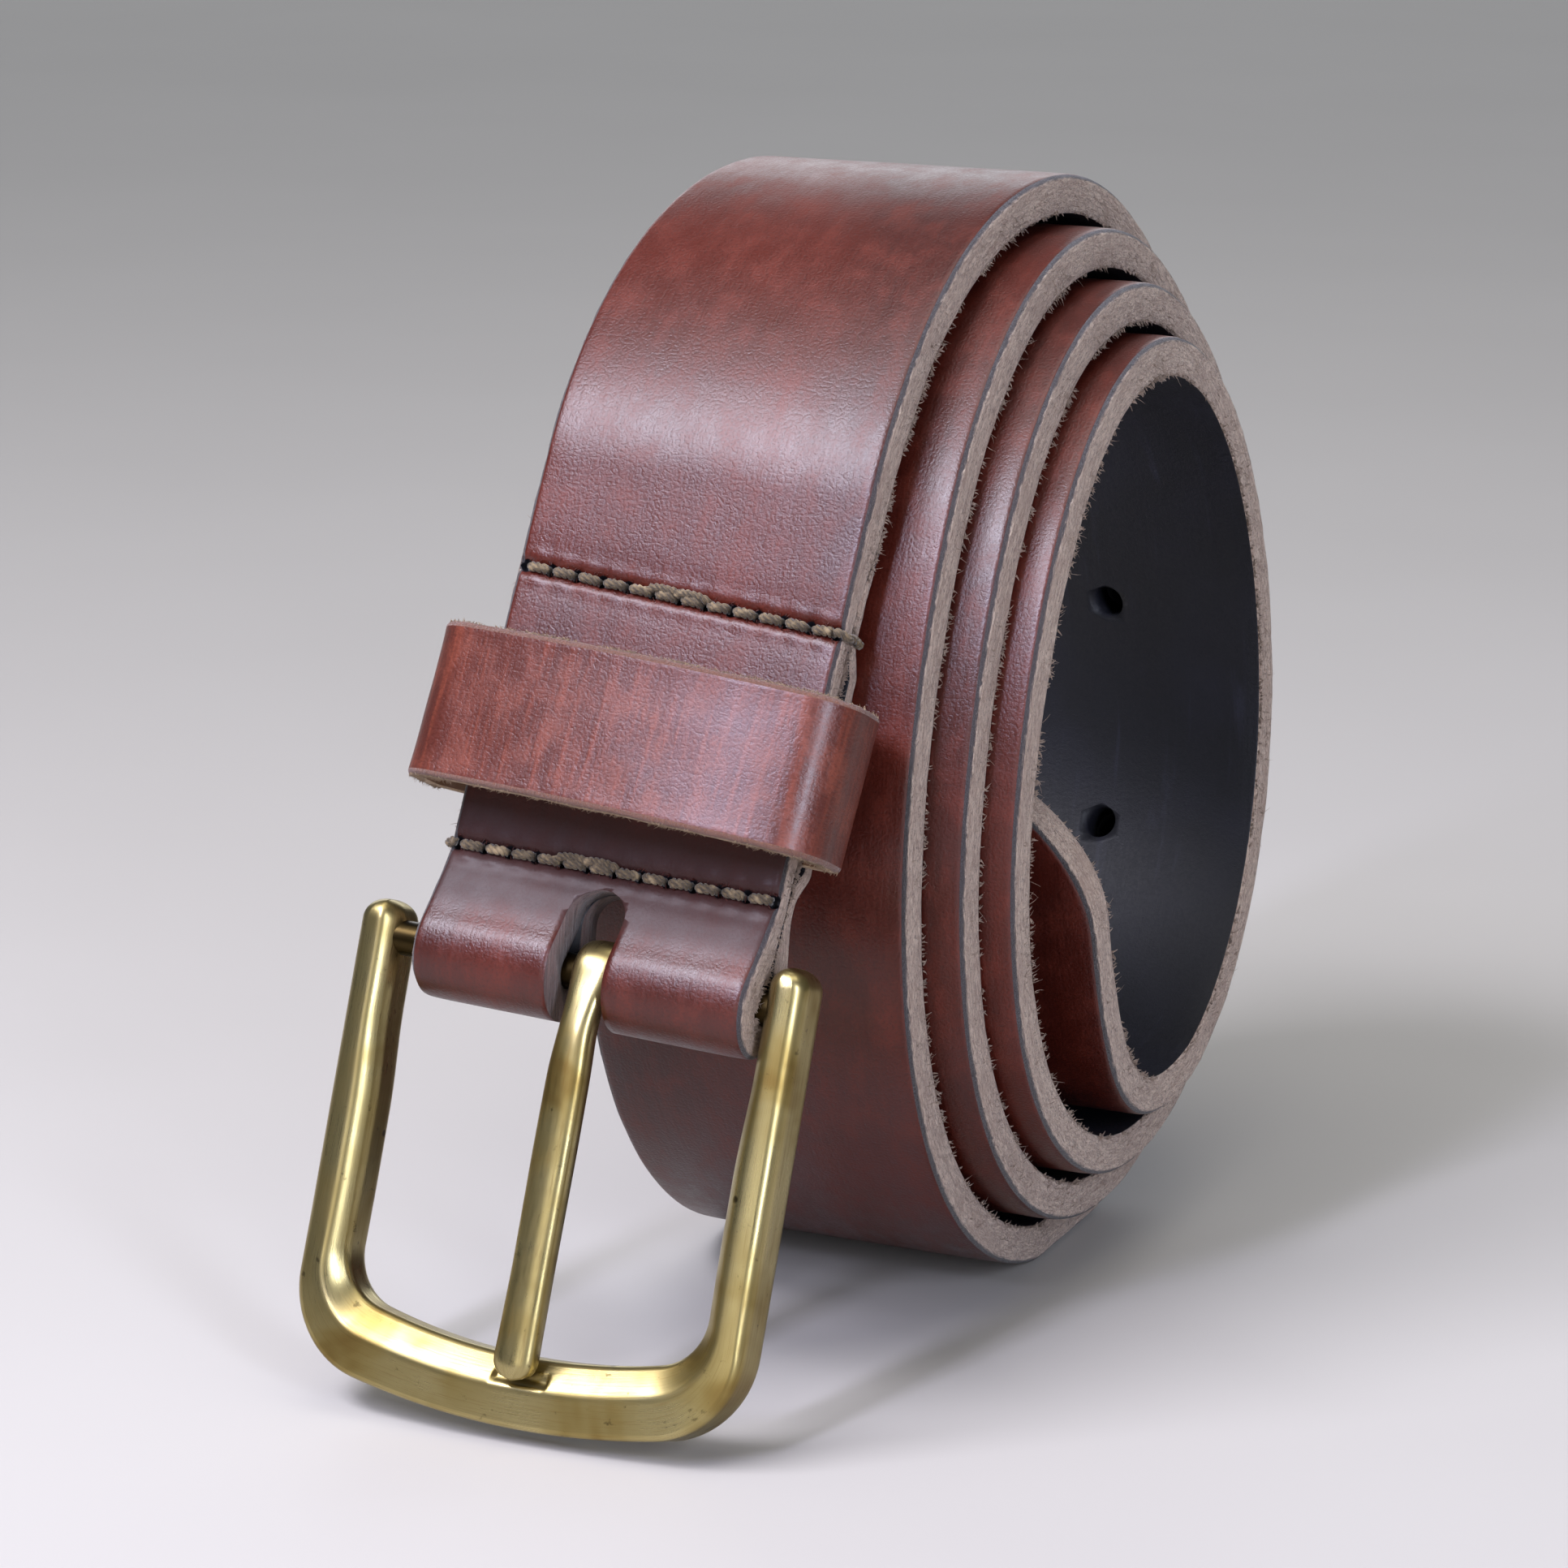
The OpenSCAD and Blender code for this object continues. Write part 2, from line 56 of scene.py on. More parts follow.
# ---------- Sizes, as in the CAD model ----------

STRAP_W, STRAP_T = 35.0, 4.0
FRONT_T, BACK_T, FOLD_T = 2.5, 1.8, 3.3
HOLE_D, HOLE_PITCH, HOLE_COUNT = 3.6, 25.4, 5
SECOND_HOLE, HOLE_RADIUS = 1206, 40
COIL_R, COIL_DROP, COIL_BULGE, COIL_OVAL = 53.5, 7.2, 2.8, 3.5
TURN_PITCH, TURN_GAP = 4.2, 1.0
TURN_SHIFT, SHIFT_EASE, TURN_SWAY, TURN_SIDE = 4.9, 0.33, 2.9, -2.0
REST_FLAT = 0.7
TAIL_START, TAIL_HANDLE, TAIL_SIDE, TAIL_REACH, TAIL_HEIGHT = 1245, 20, 3.7, 25.4, 56
TIP_SHARE = 0.2
BAR_REACH, END_SIDE = 59.7, -3.4
STRAIGHT_TOP, CREST_HANDLE, END_HANDLE = 48.0, 23, 9
ROW_LOW, ROW_HIGH, ROW_HIGH_SLANT = 9.7, 36.3, 3.0
STITCHES, THREAD_D = 12, 0.9
SKIVE_LOW, SKIVE_TOP = 38.0, 46.0
KEEPER_W, KEEPER_T, KEEPER_ROOM, KEEPER_SIDE, KEEPER_AT = 15.0, 1.6, 5.0, 3.0, 21.6
KEEPER_CORNER, KEEPER_BACK_CORNER, KEEPER_BOW, KEEPER_SLANT, KEEPER_SHIFT = 3.6, 2.6, 2.2, 1.7, 0.5
POCKET_DEPTH = 1.9
FRAME_W, FRAME_L, ARM_W, FRAME_T = 47.1, 43.3, 4.2, 5.4
FRONT_BAR_H, FRONT_BOW, KNUCKLE_TOP = 6.8, 3.5, 3.8
CORNER_R, WINDOW_R = 9.3, 5.7
BAR_D, BUCKLE_LEAN, FRAME_SHIFT, FRAME_TILT = 3.4, 6.0, 1.4, 1.1
PRONG_W, PRONG_T, PRONG_SHIFT, NOTCH_D, NOTCH_LOW = 4.1, 2.8, 0.7, 1.0, 3.7
SIDE_ROOM, RUNNING_FIT = 0.15, 0.05

HALF_W = STRAP_W / 2
BAR_DEPTH = (FRONT_T + BACK_T) / 2
BORE_R = BAR_D / 2 + RUNNING_FIT
FOLD_R = BORE_R + FOLD_T
SLOT_W, SLOT_TOP = PRONG_W + 1.9, 4.8
STITCH_PITCH = (STRAP_W - 1.6) / STITCHES


# ---------- The end's frame, from the joints ----------

joints = {j["name"]: j for j in frame["joints"]}
BAR = np.array(joints["buckle_swing"]["pos_m"]) / MM
ACROSS = -np.array(joints["buckle_swing"]["axis"])
UP = np.array(joints["keeper_slide"]["axis"])
OUT = np.cross(ACROSS, UP)
COIL_AT = BAR[:2] - (END_SIDE, -BAR_REACH)


def at_end(x, out, up):
    """A point of the buckle end, x across the strap, out of its grain face and up along it."""
    return BAR + x * ACROSS + out * OUT + up * UP


lean = math.radians(BUCKLE_LEAN)
BUCKLE_UP = math.cos(lean) * UP + math.sin(lean) * OUT
BUCKLE_OUT = math.cos(lean) * OUT - math.sin(lean) * UP


def at_buckle(x, out, up):
    """A point of the buckle, which leans out from the line of the strap."""
    return BAR + x * ACROSS + out * BUCKLE_OUT + up * BUCKLE_UP


tilt = math.radians(FRAME_TILT)


def at_frame(x, out, up):
    """A point of the buckle's frame, which stands a little to the left and askew."""
    return at_buckle(
        x * math.cos(tilt) - up * math.sin(tilt) - FRAME_SHIFT,
        out,
        x * math.sin(tilt) + up * math.cos(tilt),
    )


slant = math.radians(KEEPER_SLANT)


def at_keeper(x, out, w):
    """A point of the keeper: x across, out of the grain face and w above its middle line."""
    return at_end(
        KEEPER_SHIFT + x * math.cos(slant) + w * math.sin(slant),
        out,
        KEEPER_AT + w * math.cos(slant) - x * math.sin(slant),
    )


def unit(v):
    return v / np.linalg.norm(v)


def smooth(t):
    t = min(1.0, max(0.0, t))
    return t * t * (3 - 2 * t)


def cosd(a):
    return math.cos(math.radians(a))


def sind(a):
    return math.sin(math.radians(a))


def path_length(points):
    """The length along a line of points up to each of them."""
    return np.r_[0, np.cumsum(np.linalg.norm(np.diff(points, axis=0), axis=1))]


def smoothed(rows, reach):
    """Rows averaged with their neighbours, as many as reach on each side."""
    kernel = np.hanning(2 * reach + 1)
    kernel /= kernel.sum()
    padded = np.pad(rows, ((reach, reach), (0, 0)), mode="reflect", reflect_type="odd")
    columns = [np.convolve(padded[:, k], kernel, "valid") for k in range(rows.shape[1])]
    return np.stack(columns, 1)


def wobble(x, y, z, scale, seed=0.0):
    """Smooth noise from -1 to 1 at a place in millimetres; scale is the size of its bumps."""
    return noise.noise(Vector((x / scale + seed, y / scale - seed, z / scale + 3.1 * seed)))


# ---------- Strap path ----------


def coil_radius(a):
    return (
        COIL_R
        - COIL_DROP * cosd(a)
        + COIL_BULGE * sind(a)
        + COIL_OVAL * cosd(2 * a)
        - a / 360 * (TURN_PITCH + TURN_GAP * cosd(a) ** 2)
    )


COIL_Z = coil_radius(180) - REST_FLAT


def coil_point(a):
    """A point of the coil's grain face, a degrees back from its top."""
    n, r = a / 360, coil_radius(a)
    side = TURN_SIDE + TURN_SHIFT * n - SHIFT_EASE * n * n - TURN_SWAY * sind(a)
    return np.array(
        [COIL_AT[0] + side, COIL_AT[1] + r * sind(a), max(0.0, COIL_Z + r * cosd(a))]
    )


def coil_heading(a):
    """The way that the strap runs at a, from the tail to the buckle."""
    d = coil_point(a - 1) - coil_point(a + 1)
    return unit(np.array([0, d[1], d[2]]))


def curve(p, a, b, q, t):
    """A Bezier curve from p to q with handles a and b."""
    s = 1 - t
    return s**3 * p + 3 * t * s * s * a + 3 * t * t * s * b + t**3 * q


def curve_heading(p, a, b, q, t):
    s = 1 - t
    return unit(s * s * (a - p) + 2 * t * s * (b - a) + t * t * (q - b))


tail_root = coil_point(TAIL_START)
tail_tip = np.array([tail_root[0] + TAIL_SIDE, COIL_AT[1] - TAIL_REACH, TAIL_HEIGHT])
tail_knee = np.array(
    [tail_root[0] + TAIL_SIDE / 2, COIL_AT[1] - 0.68 * TAIL_REACH, 0.44 * TAIL_HEIGHT]
)
tail_curve = (
    tail_tip,
    tail_knee,
    tail_root - TAIL_HANDLE * coil_heading(TAIL_START),
    tail_root,
)
crest = coil_point(0)
end_top = at_end(0, BAR_DEPTH, STRAIGHT_TOP)
free_curve = (
    crest,
    crest + CREST_HANDLE * coil_heading(0),
    end_top + END_HANDLE * UP,
    end_top,
)
X_AXIS = np.array([1.0, 0.0, 0.0])


# Stations along the tail's rounded tip and the rest of the tail, the coil's step in degrees, the
# stations of the free run, and the end's step in millimetres
TIP_STEPS, TAIL_STEPS, COIL_STEP, FREE_STEPS, END_STEP = 26, 31, 1.75, 64, 0.35


class Station:
    """One cross-section of the strap: a point on the grain face, the directions across and out
    of the grain face, the half width, the thickness, and the length of strap up to it."""

    def __init__(self, point, across, heading, half=HALF_W, thick=STRAP_T):
        self.point, self.across = point, unit(across - np.dot(across, heading) * heading)
        self.out = unit(np.cross(heading, self.across))
        self.half, self.thick, self.run = half, thick, 0.0


def tail_stations():
    made = []
    for k in range(1, TIP_STEPS + 1):
        f = 1 - cosd(90 * k / TIP_STEPS)
        t = TIP_SHARE * f
        half = HALF_W * math.sqrt(1 - (1 - f) ** 2)
        heading = curve_heading(*tail_curve, t) * (0, 1, 1)
        made.append(Station(curve(*tail_curve, t), X_AXIS, unit(heading), half))
    for k in range(1, TAIL_STEPS):
        t = TIP_SHARE + (1 - TIP_SHARE) * k / TAIL_STEPS
        heading = curve_heading(*tail_curve, t) * (0, 1, 1)
        made.append(Station(curve(*tail_curve, t), X_AXIS, unit(heading)))
    return made


def coil_stations():
    angles = np.arange(TAIL_START, COIL_STEP / 2, -COIL_STEP)
    return [Station(coil_point(a), X_AXIS, coil_heading(a)) for a in angles]


def free_stations():
    made = []
    for k in range(FREE_STEPS):
        t = k / FREE_STEPS
        across = (1 - smooth(t)) * X_AXIS + smooth(t) * ACROSS
        made.append(Station(curve(*free_curve, t), across, curve_heading(*free_curve, t)))
    return made


def fold_profile():
    """The grain face of the end from the straight strap down the front layer, round the bar and
    up the turned-back layer, as rows of (out, up, thickness) at even steps. The fold is round
    from fold_start degrees above level in front to as much above level behind."""
    fold_start = 33
    knots = [(BAR_DEPTH, STRAIGHT_TOP, STRAP_T), (BAR_DEPTH, SKIVE_TOP, STRAP_T)]
    knots += [(BAR_DEPTH, SKIVE_LOW, FRONT_T), (BAR_DEPTH, ROW_LOW + 0.2, FRONT_T)]
    knots += [(BAR_DEPTH + 0.15, ROW_LOW - 1.4, FRONT_T), (3.2, 5.6, 3.5)]
    for a in range(fold_start, -180 - fold_start - 1, -8):
        thick = FOLD_T + 0.1 * cosd(2 * a)
        knots.append((FOLD_R * cosd(a), FOLD_R * sind(a), thick))
    knots += [(-3.2, 5.6, 3.05)]
    knots += [(-BAR_DEPTH - 0.1, ROW_LOW - 1.4, BACK_T), (-BAR_DEPTH, ROW_LOW, BACK_T)]
    pocket = BAR_DEPTH + POCKET_DEPTH
    knots += [(-BAR_DEPTH - 0.1, ROW_LOW + 1.0, BACK_T), (-pocket, ROW_LOW + 3.0, BACK_T)]
    knots += [(-pocket, ROW_HIGH - 3.6, BACK_T), (-BAR_DEPTH - 0.1, ROW_HIGH - 1.3, BACK_T)]
    knots += [(-BAR_DEPTH, ROW_HIGH, BACK_T), (-BAR_DEPTH, SKIVE_LOW + 1, BACK_T)]
    knots += [(BAR_DEPTH - STRAP_T - 0.25, SKIVE_TOP - 1.5, 0.3)]
    line = np.array(knots)
    run = path_length(line[:, :2])
    even = np.arange(0, run[-1], END_STEP)
    dense = np.stack([np.interp(even, run, line[:, k]) for k in range(3)], 1)
    return smoothed(dense, 4)


def end_stations():
    rows = fold_profile()
    made = []
    for k in range(1, len(rows)):
        here, last = rows[k], rows[k - 1]
        d = unit(here[:2] - last[:2])
        heading = d[0] * OUT + d[1] * UP
        made.append(Station(at_end(0, here[0], here[1]), ACROSS, heading, thick=here[2]))
        made[-1].place = (here[0], here[1])
    return made


stations = tail_stations() + coil_stations() + free_stations() + end_stations()
for before, after in zip(stations, stations[1:]):
    after.run = before.run + np.linalg.norm(after.point - before.point)


# ---------- Mesh helpers ----------


def make_object(name, verts, faces, materials, face_material=None, places=None):
    """A mesh object from points in millimetres. places, one per vertex, are stored on the face
    corners as the vector attribute "place", which the materials read."""
    mesh = bpy.data.meshes.new(name)
    mesh.from_pydata((np.asarray(verts) * MM).tolist(), [], faces)
    for m in materials:
        mesh.materials.append(m)
    if face_material is not None:
        mesh.polygons.foreach_set("material_index", face_material)
    if places is not None:
        loops = np.zeros(len(mesh.loops), np.int32)
        mesh.loops.foreach_get("vertex_index", loops)
        layer = mesh.attributes.new("place", "FLOAT_VECTOR", "CORNER")
        layer.data.foreach_set("vector", np.asarray(places, np.float32)[loops].ravel())
    mesh.shade_smooth()
    mesh.update()
    obj = bpy.data.objects.new(name, mesh)
    bpy.context.scene.collection.objects.link(obj)
    return obj


def ring_faces(rings, around):
    """Faces between consecutive rings of vertices, with end caps."""
    faces = []
    for i in range(rings - 1):
        for j in range(around):
            a, b = i * around + j, i * around + (j + 1) % around
            faces.append((a, b, b + around, a + around))
    faces.append(tuple(range(around - 1, -1, -1)))
    faces.append(tuple((rings - 1) * around + j for j in range(around)))
    return faces


def spread(low, high, count, ease=1.0):
    """Values from low to high, even or, with ease above 1, crowded towards both ends."""
    t = np.linspace(-1, 1, count)
    t = np.sign(t) * (1 - (1 - np.abs(t)) ** ease)
    return low + (high - low) * (t + 1) / 2


def strip_section(half, thick, grain_r=0.75, flesh_r=0.4, grain_n=57, edge_n=4, flesh_n=15):
    """The outline of a strip of leather: rows of (x, depth, zone). depth is 0 at the grain face
    and zone is 0 on the grain, 1 on the raw edges and 2 on the flesh side."""
    gr = min(grain_r, 0.45 * half, 0.45 * thick)
    fr = min(flesh_r, 0.45 * half, 0.4 * thick)
    rows = [(x, 0.0, 0.0) for x in spread(-(half - gr), half - gr, grain_n, 1.25)]
    right = []
    for a in (22, 45, 68, 90):
        right.append((half - gr + gr * sind(a), gr - gr * cosd(a), a / 90 * 0.9 + 0.05))
    for k in range(1, edge_n + 1):
        right.append((half, gr + (thick - gr - fr) * k / (edge_n + 1), 1.0))
    for a in (0, 35, 65):
        right.append((half - fr + fr * cosd(a), thick - fr + fr * sind(a), 1.0 + a / 90))
    rows += right
    rows += [(x, thick, 2.0) for x in spread(half - fr, -(half - fr), flesh_n)]
    rows += [(-x, d, z) for x, d, z in reversed(right)]
    return np.array(rows)


# Order of the materials on a piece of leather, and the zone where the flesh side starts
GRAIN, EDGE, FLESH, SHADED_SLOT = 0, 1, 2, 3
FLESH_FROM = 1.62
# Depth in millimetres that is given to cut walls and fibres, well inside the leather
INNER_DEPTH = 2.0


def zone_faces(faces, zones, grain_end=0.32):
    """The material of each face, from the zones of its vertices."""
    made = []
    for f in faces:
        z = sum(zones[i] for i in f) / len(f)
        made.append(GRAIN if z < grain_end else EDGE if z < FLESH_FROM else FLESH)
    return made


# ---------- Material helpers ----------


class Mat:
    """A node material with short calls for the nodes that the leather, brass and thread share."""

    def __init__(self, name, **shader):
        self.material = bpy.data.materials.new(name)
        self.material.use_nodes = True
        self.tree = self.material.node_tree
        self.shader = self.tree.nodes["Principled BSDF"]
        for key, value in shader.items():
            self.shader.inputs[key.replace("_", " ")].default_value = value

    def node(self, kind, inputs=(), **props):
        made = self.tree.nodes.new(kind)
        for key, value in props.items():
            setattr(made, key, value)
        for key, value in dict(inputs).items():
            if isinstance(value, bpy.types.NodeSocket):
                self.tree.links.new(value, made.inputs[key])
            else:
                made.inputs[key].default_value = value
        return made

    def place(self):
        return self.node("ShaderNodeAttribute", attribute_name="place").outputs["Vector"]

    def solid(self):
        return self.node("ShaderNodeTexCoord").outputs["Object"]

    def scaled(self, vector, scale):
        return self.node("ShaderNodeMapping", {"Vector": vector, "Scale": scale}).outputs["Vector"]

    def noise(self, vector, scale, detail=3.0, rough=0.55, warp=0.0):
        names = ("Vector", "Scale", "Detail", "Roughness", "Distortion")
        made = self.node("ShaderNodeTexNoise", zip(names, (vector, scale, detail, rough, warp)))
        return made.outputs["Fac"]

    def cells(self, vector, scale, feature="F1"):
        inputs = {"Vector": vector, "Scale": scale}
        return self.node("ShaderNodeTexVoronoi", inputs, feature=feature).outputs["Distance"]

    def math(self, operation, a, b=0.0):
        return self.node("ShaderNodeMath", {0: a, 1: b}, operation=operation).outputs[0]

    def ramp(self, value, low, high, to_low=0.0, to_high=1.0):
        names = ("Value", "From Min", "From Max", "To Min", "To Max")
        inputs = zip(names, (value, low, high, to_low, to_high))
        made = self.node("ShaderNodeMapRange", inputs, interpolation_type="SMOOTHSTEP")
        return made.outputs["Result"]

    def mix(self, factor, a, b):
        made = self.node("ShaderNodeMix", data_type="RGBA")
        for index, value in ((0, factor), (6, a), (7, b)):
            if isinstance(value, bpy.types.NodeSocket):
                self.tree.links.new(value, made.inputs[index])
            else:
                made.inputs[index].default_value = value
        return made.outputs[2]

    def bump(self, height, strength, distance, normal=None):
        inputs = {"Height": height, "Strength": strength, "Distance": distance}
        made = self.node("ShaderNodeBump", inputs)
        if normal is not None:
            self.tree.links.new(normal, made.inputs["Normal"])
        return made.outputs["Normal"]

    def part(self, vector, axis):
        return self.node("ShaderNodeSeparateXYZ", {0: vector}).outputs[axis]

    def finish(self, colour=None, roughness=None, normal=None):
        for key, value in (("Base Color", colour), ("Roughness", roughness), ("Normal", normal)):
            if value is not None:
                self.tree.links.new(value, self.shader.inputs[key])
        return self.material


def rgb(r, g, b):
    """A colour given as everyday 0 to 255 values, as the shader wants it."""

    def linear(c):
        c /= 255
        return c / 12.92 if c < 0.04045 else ((c + 0.055) / 1.055) ** 2.4

    return (linear(r), linear(g), linear(b), 1.0)


def grain_material(name, dark, mid, light, streak, coat, shade_and_matte_runs=None):
    """Glossy full-grain leather: soft patches, streaks along the strap, pores and fine creases.
    The last argument gives the lengths of strap between which it is painted darker, as painted
    shade under the keeper and on the fold's top, and made rougher: where that starts, is full,
    is still full, and ends."""
    m = Mat(name, IOR=1.5, Coat_Weight=coat, Coat_Roughness=0.26, Specular_IOR_Level=0.45)
    place = m.place()
    patches = m.noise(m.scaled(place, (0.02, 0.035, 0.03)), 1.0, 3.0, 0.6, 0.6)
    mottle = m.noise(m.scaled(place, (0.22, 0.3, 0.3)), 1.0, 4.0, 0.62)
    streaks = m.noise(m.scaled(place, (0.10, 1.5, 0.5)), 1.0, 3.0, 0.6, 0.3)
    fine = m.noise(place, 3.2, 3.0, 0.6)
    colour = m.mix(m.ramp(patches, 0.25, 0.75, 0.25, 0.9), dark, mid)
    colour = m.mix(m.ramp(mottle, 0.42, 0.72, 0.0, 0.25 + 0.5 * streak), colour, light)
    colour = m.mix(m.ramp(streaks, 0.45, 0.75, 0.0, streak), colour, light)
    colour = m.mix(m.ramp(streaks, 0.5, 0.25, 0.0, 0.5 * streak), colour, dark)
    colour = m.mix(m.ramp(fine, 0.55, 0.3, 0.0, 0.45), colour, dark)
    pores = m.cells(place, 1.9)
    pits = m.ramp(pores, 0.0, 0.22)
    colour = m.mix(m.ramp(pores, 0.16, 0.02, 0.0, 0.5), colour, dark)
    rough = m.math("ADD", m.ramp(mottle, 0.3, 0.75, 0.28, 0.42), m.ramp(fine, 0.3, 0.7, 0, 0.08))
    # Painted shade under the keeper and on the fold's top: darker colour between the given lengths
    # of strap, with rougher leather
    if shade_and_matte_runs:
        run = m.part(place, "X")
        painted_shade_and_matte = m.math("MULTIPLY", m.ramp(run, shade_and_matte_runs[0], shade_and_matte_runs[1]), m.ramp(run, shade_and_matte_runs[3], shade_and_matte_runs[2]))
        colour = m.mix(m.math("MULTIPLY", painted_shade_and_matte, 0.8), colour, dark)
        rough = m.math("ADD", rough, m.math("MULTIPLY", painted_shade_and_matte, 0.3))
    creases = m.cells(m.scaled(place, (1.3, 0.9, 1.0)), 1.0, "DISTANCE_TO_EDGE")
    height = m.math("ADD", pits, m.math("MULTIPLY", m.ramp(creases, 0.0, 0.16), 0.5))
    normal = m.bump(height, 0.16, 0.00010)
    normal = m.bump(fine, 0.6, 0.0001, normal)
    normal = m.bump(streaks, 0.30, 0.00012, normal)
    return m.finish(colour, rough, normal)


def edge_material(name, dark, mid, light, line):
    """A cut leather edge: fibres that run along it, and a thin dark line by the grain."""
    m = Mat(name, Specular_IOR_Level=0.25, Sheen_Weight=0.3, Sheen_Roughness=0.6)
    place = m.place()
    along = m.noise(m.scaled(place, (0.7, 2.2, 3.4)), 1.0, 4.0, 0.7, 1.0)
    tufts = m.noise(m.scaled(place, (2.6, 3.0, 4.5)), 1.0, 4.0, 0.75, 0.8)
    patches = m.noise(m.scaled(place, (0.12, 0.2, 0.2)), 1.0, 2.0)
    colour = m.mix(m.ramp(along, 0.35, 0.68), mid, light)
    colour = m.mix(m.ramp(tufts, 0.5, 0.3), colour, dark)
    colour = m.mix(m.ramp(patches, 0.5, 0.75, 0.0, 0.5), colour, mid)
    depth = m.part(place, "Z")
    wavy = m.math("ADD", depth, m.math("MULTIPLY", m.math("SUBTRACT", along, 0.5), 0.7))
    colour = m.mix(m.ramp(wavy, 0.62, 0.3), colour, line)
    normal = m.bump(tufts, 0.9, 0.00035)
    normal = m.bump(along, 0.7, 0.0004, normal)
    return m.finish(colour, m.ramp(tufts, 0.3, 0.7, 0.8, 0.95), normal)


def flesh_material(name, dark, mid, light):
    """The smooth sealed back of the strap: close nap with faint scuffs."""
    m = Mat(name, Specular_IOR_Level=0.45, Coat_Weight=0.05, Coat_Roughness=0.45)
    place = m.place()
    nap = m.noise(place, 2.6, 4.0, 0.7)
    scuffs = m.noise(m.scaled(place, (0.05, 0.5, 0.3)), 1.0, 4.0, 0.65, 0.4)
    clouds = m.noise(m.scaled(place, (0.06, 0.07, 0.1)), 1.0, 2.0)
    colour = m.mix(m.ramp(clouds, 0.35, 0.7), dark, mid)
    colour = m.mix(m.ramp(scuffs, 0.55, 0.8, 0.0, 0.6), colour, light)
    colour = m.mix(m.ramp(nap, 0.5, 0.3, 0.0, 0.5), colour, dark)
    rough = m.ramp(nap, 0.3, 0.7, 0.48, 0.62)
    normal = m.bump(nap, 0.5, 0.00012)
    return m.finish(colour, rough, m.bump(scuffs, 0.3, 0.0002, normal))


def brass_material(name, deep, mid, bright, patina):
    """Aged brass: brushed along the bars, browner in broad patches, with a few dark pits."""
    m = Mat(name, Metallic=1.0)
    place, solid = m.place(), m.solid()
    brushed = m.noise(m.scaled(place, (0.16, 4.0, 4.0)), 1.0, 4.0, 0.7)
    clouds = m.noise(solid, 75.0, 3.0, 0.6, 0.4)
    specks = m.noise(solid, 700.0, 3.0, 0.7)
    colour = m.mix(m.ramp(clouds, 0.35, 0.65), mid, bright)
    colour = m.mix(m.ramp(brushed, 0.48, 0.75, 0.0, 0.5), colour, deep)
    colour = m.mix(m.ramp(clouds, 0.45, 0.3, 0.0, 0.6), colour, deep)
    colour = m.mix(m.ramp(specks, 0.36, 0.26, 0.0, 0.6), colour, patina)
    pits = m.cells(solid, 150.0)
    colour = m.mix(m.ramp(pits, 0.07, 0.03, 0.0, 0.85), colour, patina)
    rough = m.math("ADD", m.ramp(clouds, 0.3, 0.7, 0.34, 0.22), m.ramp(brushed, 0.3, 0.7, 0, 0.1))
    normal = m.bump(brushed, 0.16, 0.00004)
    return m.finish(colour, rough, m.bump(m.ramp(pits, 0.02, 0.08), 0.3, 0.00006, normal))


def thread_material(name, dark, mid, light):
    """Waxed, twisted thread."""
    m = Mat(name, Specular_IOR_Level=0.35, Sheen_Weight=0.25, Sheen_Roughness=0.5)
    solid = m.solid()
    fibres = m.noise(m.scaled(m.place(), (1.0, 7.0, 7.0)), 1.0, 3.0, 0.7)
    patches = m.noise(solid, 700.0, 3.0)
    colour = m.mix(m.ramp(fibres, 0.35, 0.65), dark, mid)
    colour = m.mix(m.ramp(patches, 0.5, 0.75, 0.0, 0.8), colour, light)
    return m.finish(colour, m.ramp(fibres, 0.3, 0.7, 0.55, 0.8), m.bump(fibres, 0.6, 0.00006))


# Painted shade: the front layer is darker from under the keeper to the fold, and rougher there
front_layer = [s for s in stations if hasattr(s, "place") and s.place[0] > 0]
shade_and_matte_run = [next(s.run for s in front_layer if s.place[1] < up) for up in (18, 13, 6, 2.5)]
mahogany = grain_material(
    "strap_grain", rgb(42, 13, 9), rgb(82, 26, 15), rgb(112, 40, 22), 0.1, 0.14, shade_and_matte_run
)
keeper_grain = grain_material(
    "keeper_grain", rgb(58, 23, 17), rgb(92, 38, 27), rgb(122, 58, 40), 0.6, 0.25
)
raw_edge = edge_material(
    "strap_edge", rgb(96, 72, 60), rgb(164, 134, 116), rgb(220, 196, 176), rgb(46, 36, 38)
)
keeper_edge = edge_material(
    "keeper_edge", rgb(120, 88, 60), rgb(176, 140, 104), rgb(214, 184, 146), rgb(110, 66, 46)
)
# The slot's cut walls: the edge colours made darker, as painted shade inside the narrow slot
shaded_slot_wall = edge_material(
    "shaded_slot_wall", rgb(44, 28, 26), rgb(80, 56, 52), rgb(120, 94, 86), rgb(34, 20, 18)
)
navy_flesh = flesh_material("strap_flesh", rgb(12, 12, 19), rgb(21, 21, 32), rgb(44, 44, 60))
tan_flesh = flesh_material("keeper_flesh", rgb(88, 60, 42), rgb(128, 92, 66), rgb(160, 124, 92))
brass = brass_material(
    "aged_brass", rgb(114, 87, 40), rgb(148, 130, 78), rgb(178, 164, 116), rgb(52, 42, 26)
)
khaki = thread_material("waxed_thread", rgb(46, 36, 26), rgb(108, 90, 64), rgb(160, 138, 104))


# ---------- Strap ----------


# Width along each edge where the grain face turns down, and how far
RIM_W, RIM_DROP = 3.0, 0.10
# Awl holes: radius, how much wider they start at the grain face, and half their depth
AWL_R, AWL_FLARE, AWL_REACH = 0.58, 0.24, 1.6


def awl_x(k):
    return (k - STITCHES / 2) * STITCH_PITCH


def row_height(row, x):
    """Height of a sewn row at x across: the upper row runs down to the right."""
    return ROW_LOW if row == 0 else ROW_HIGH - x * math.tan(math.radians(ROW_HIGH_SLANT))


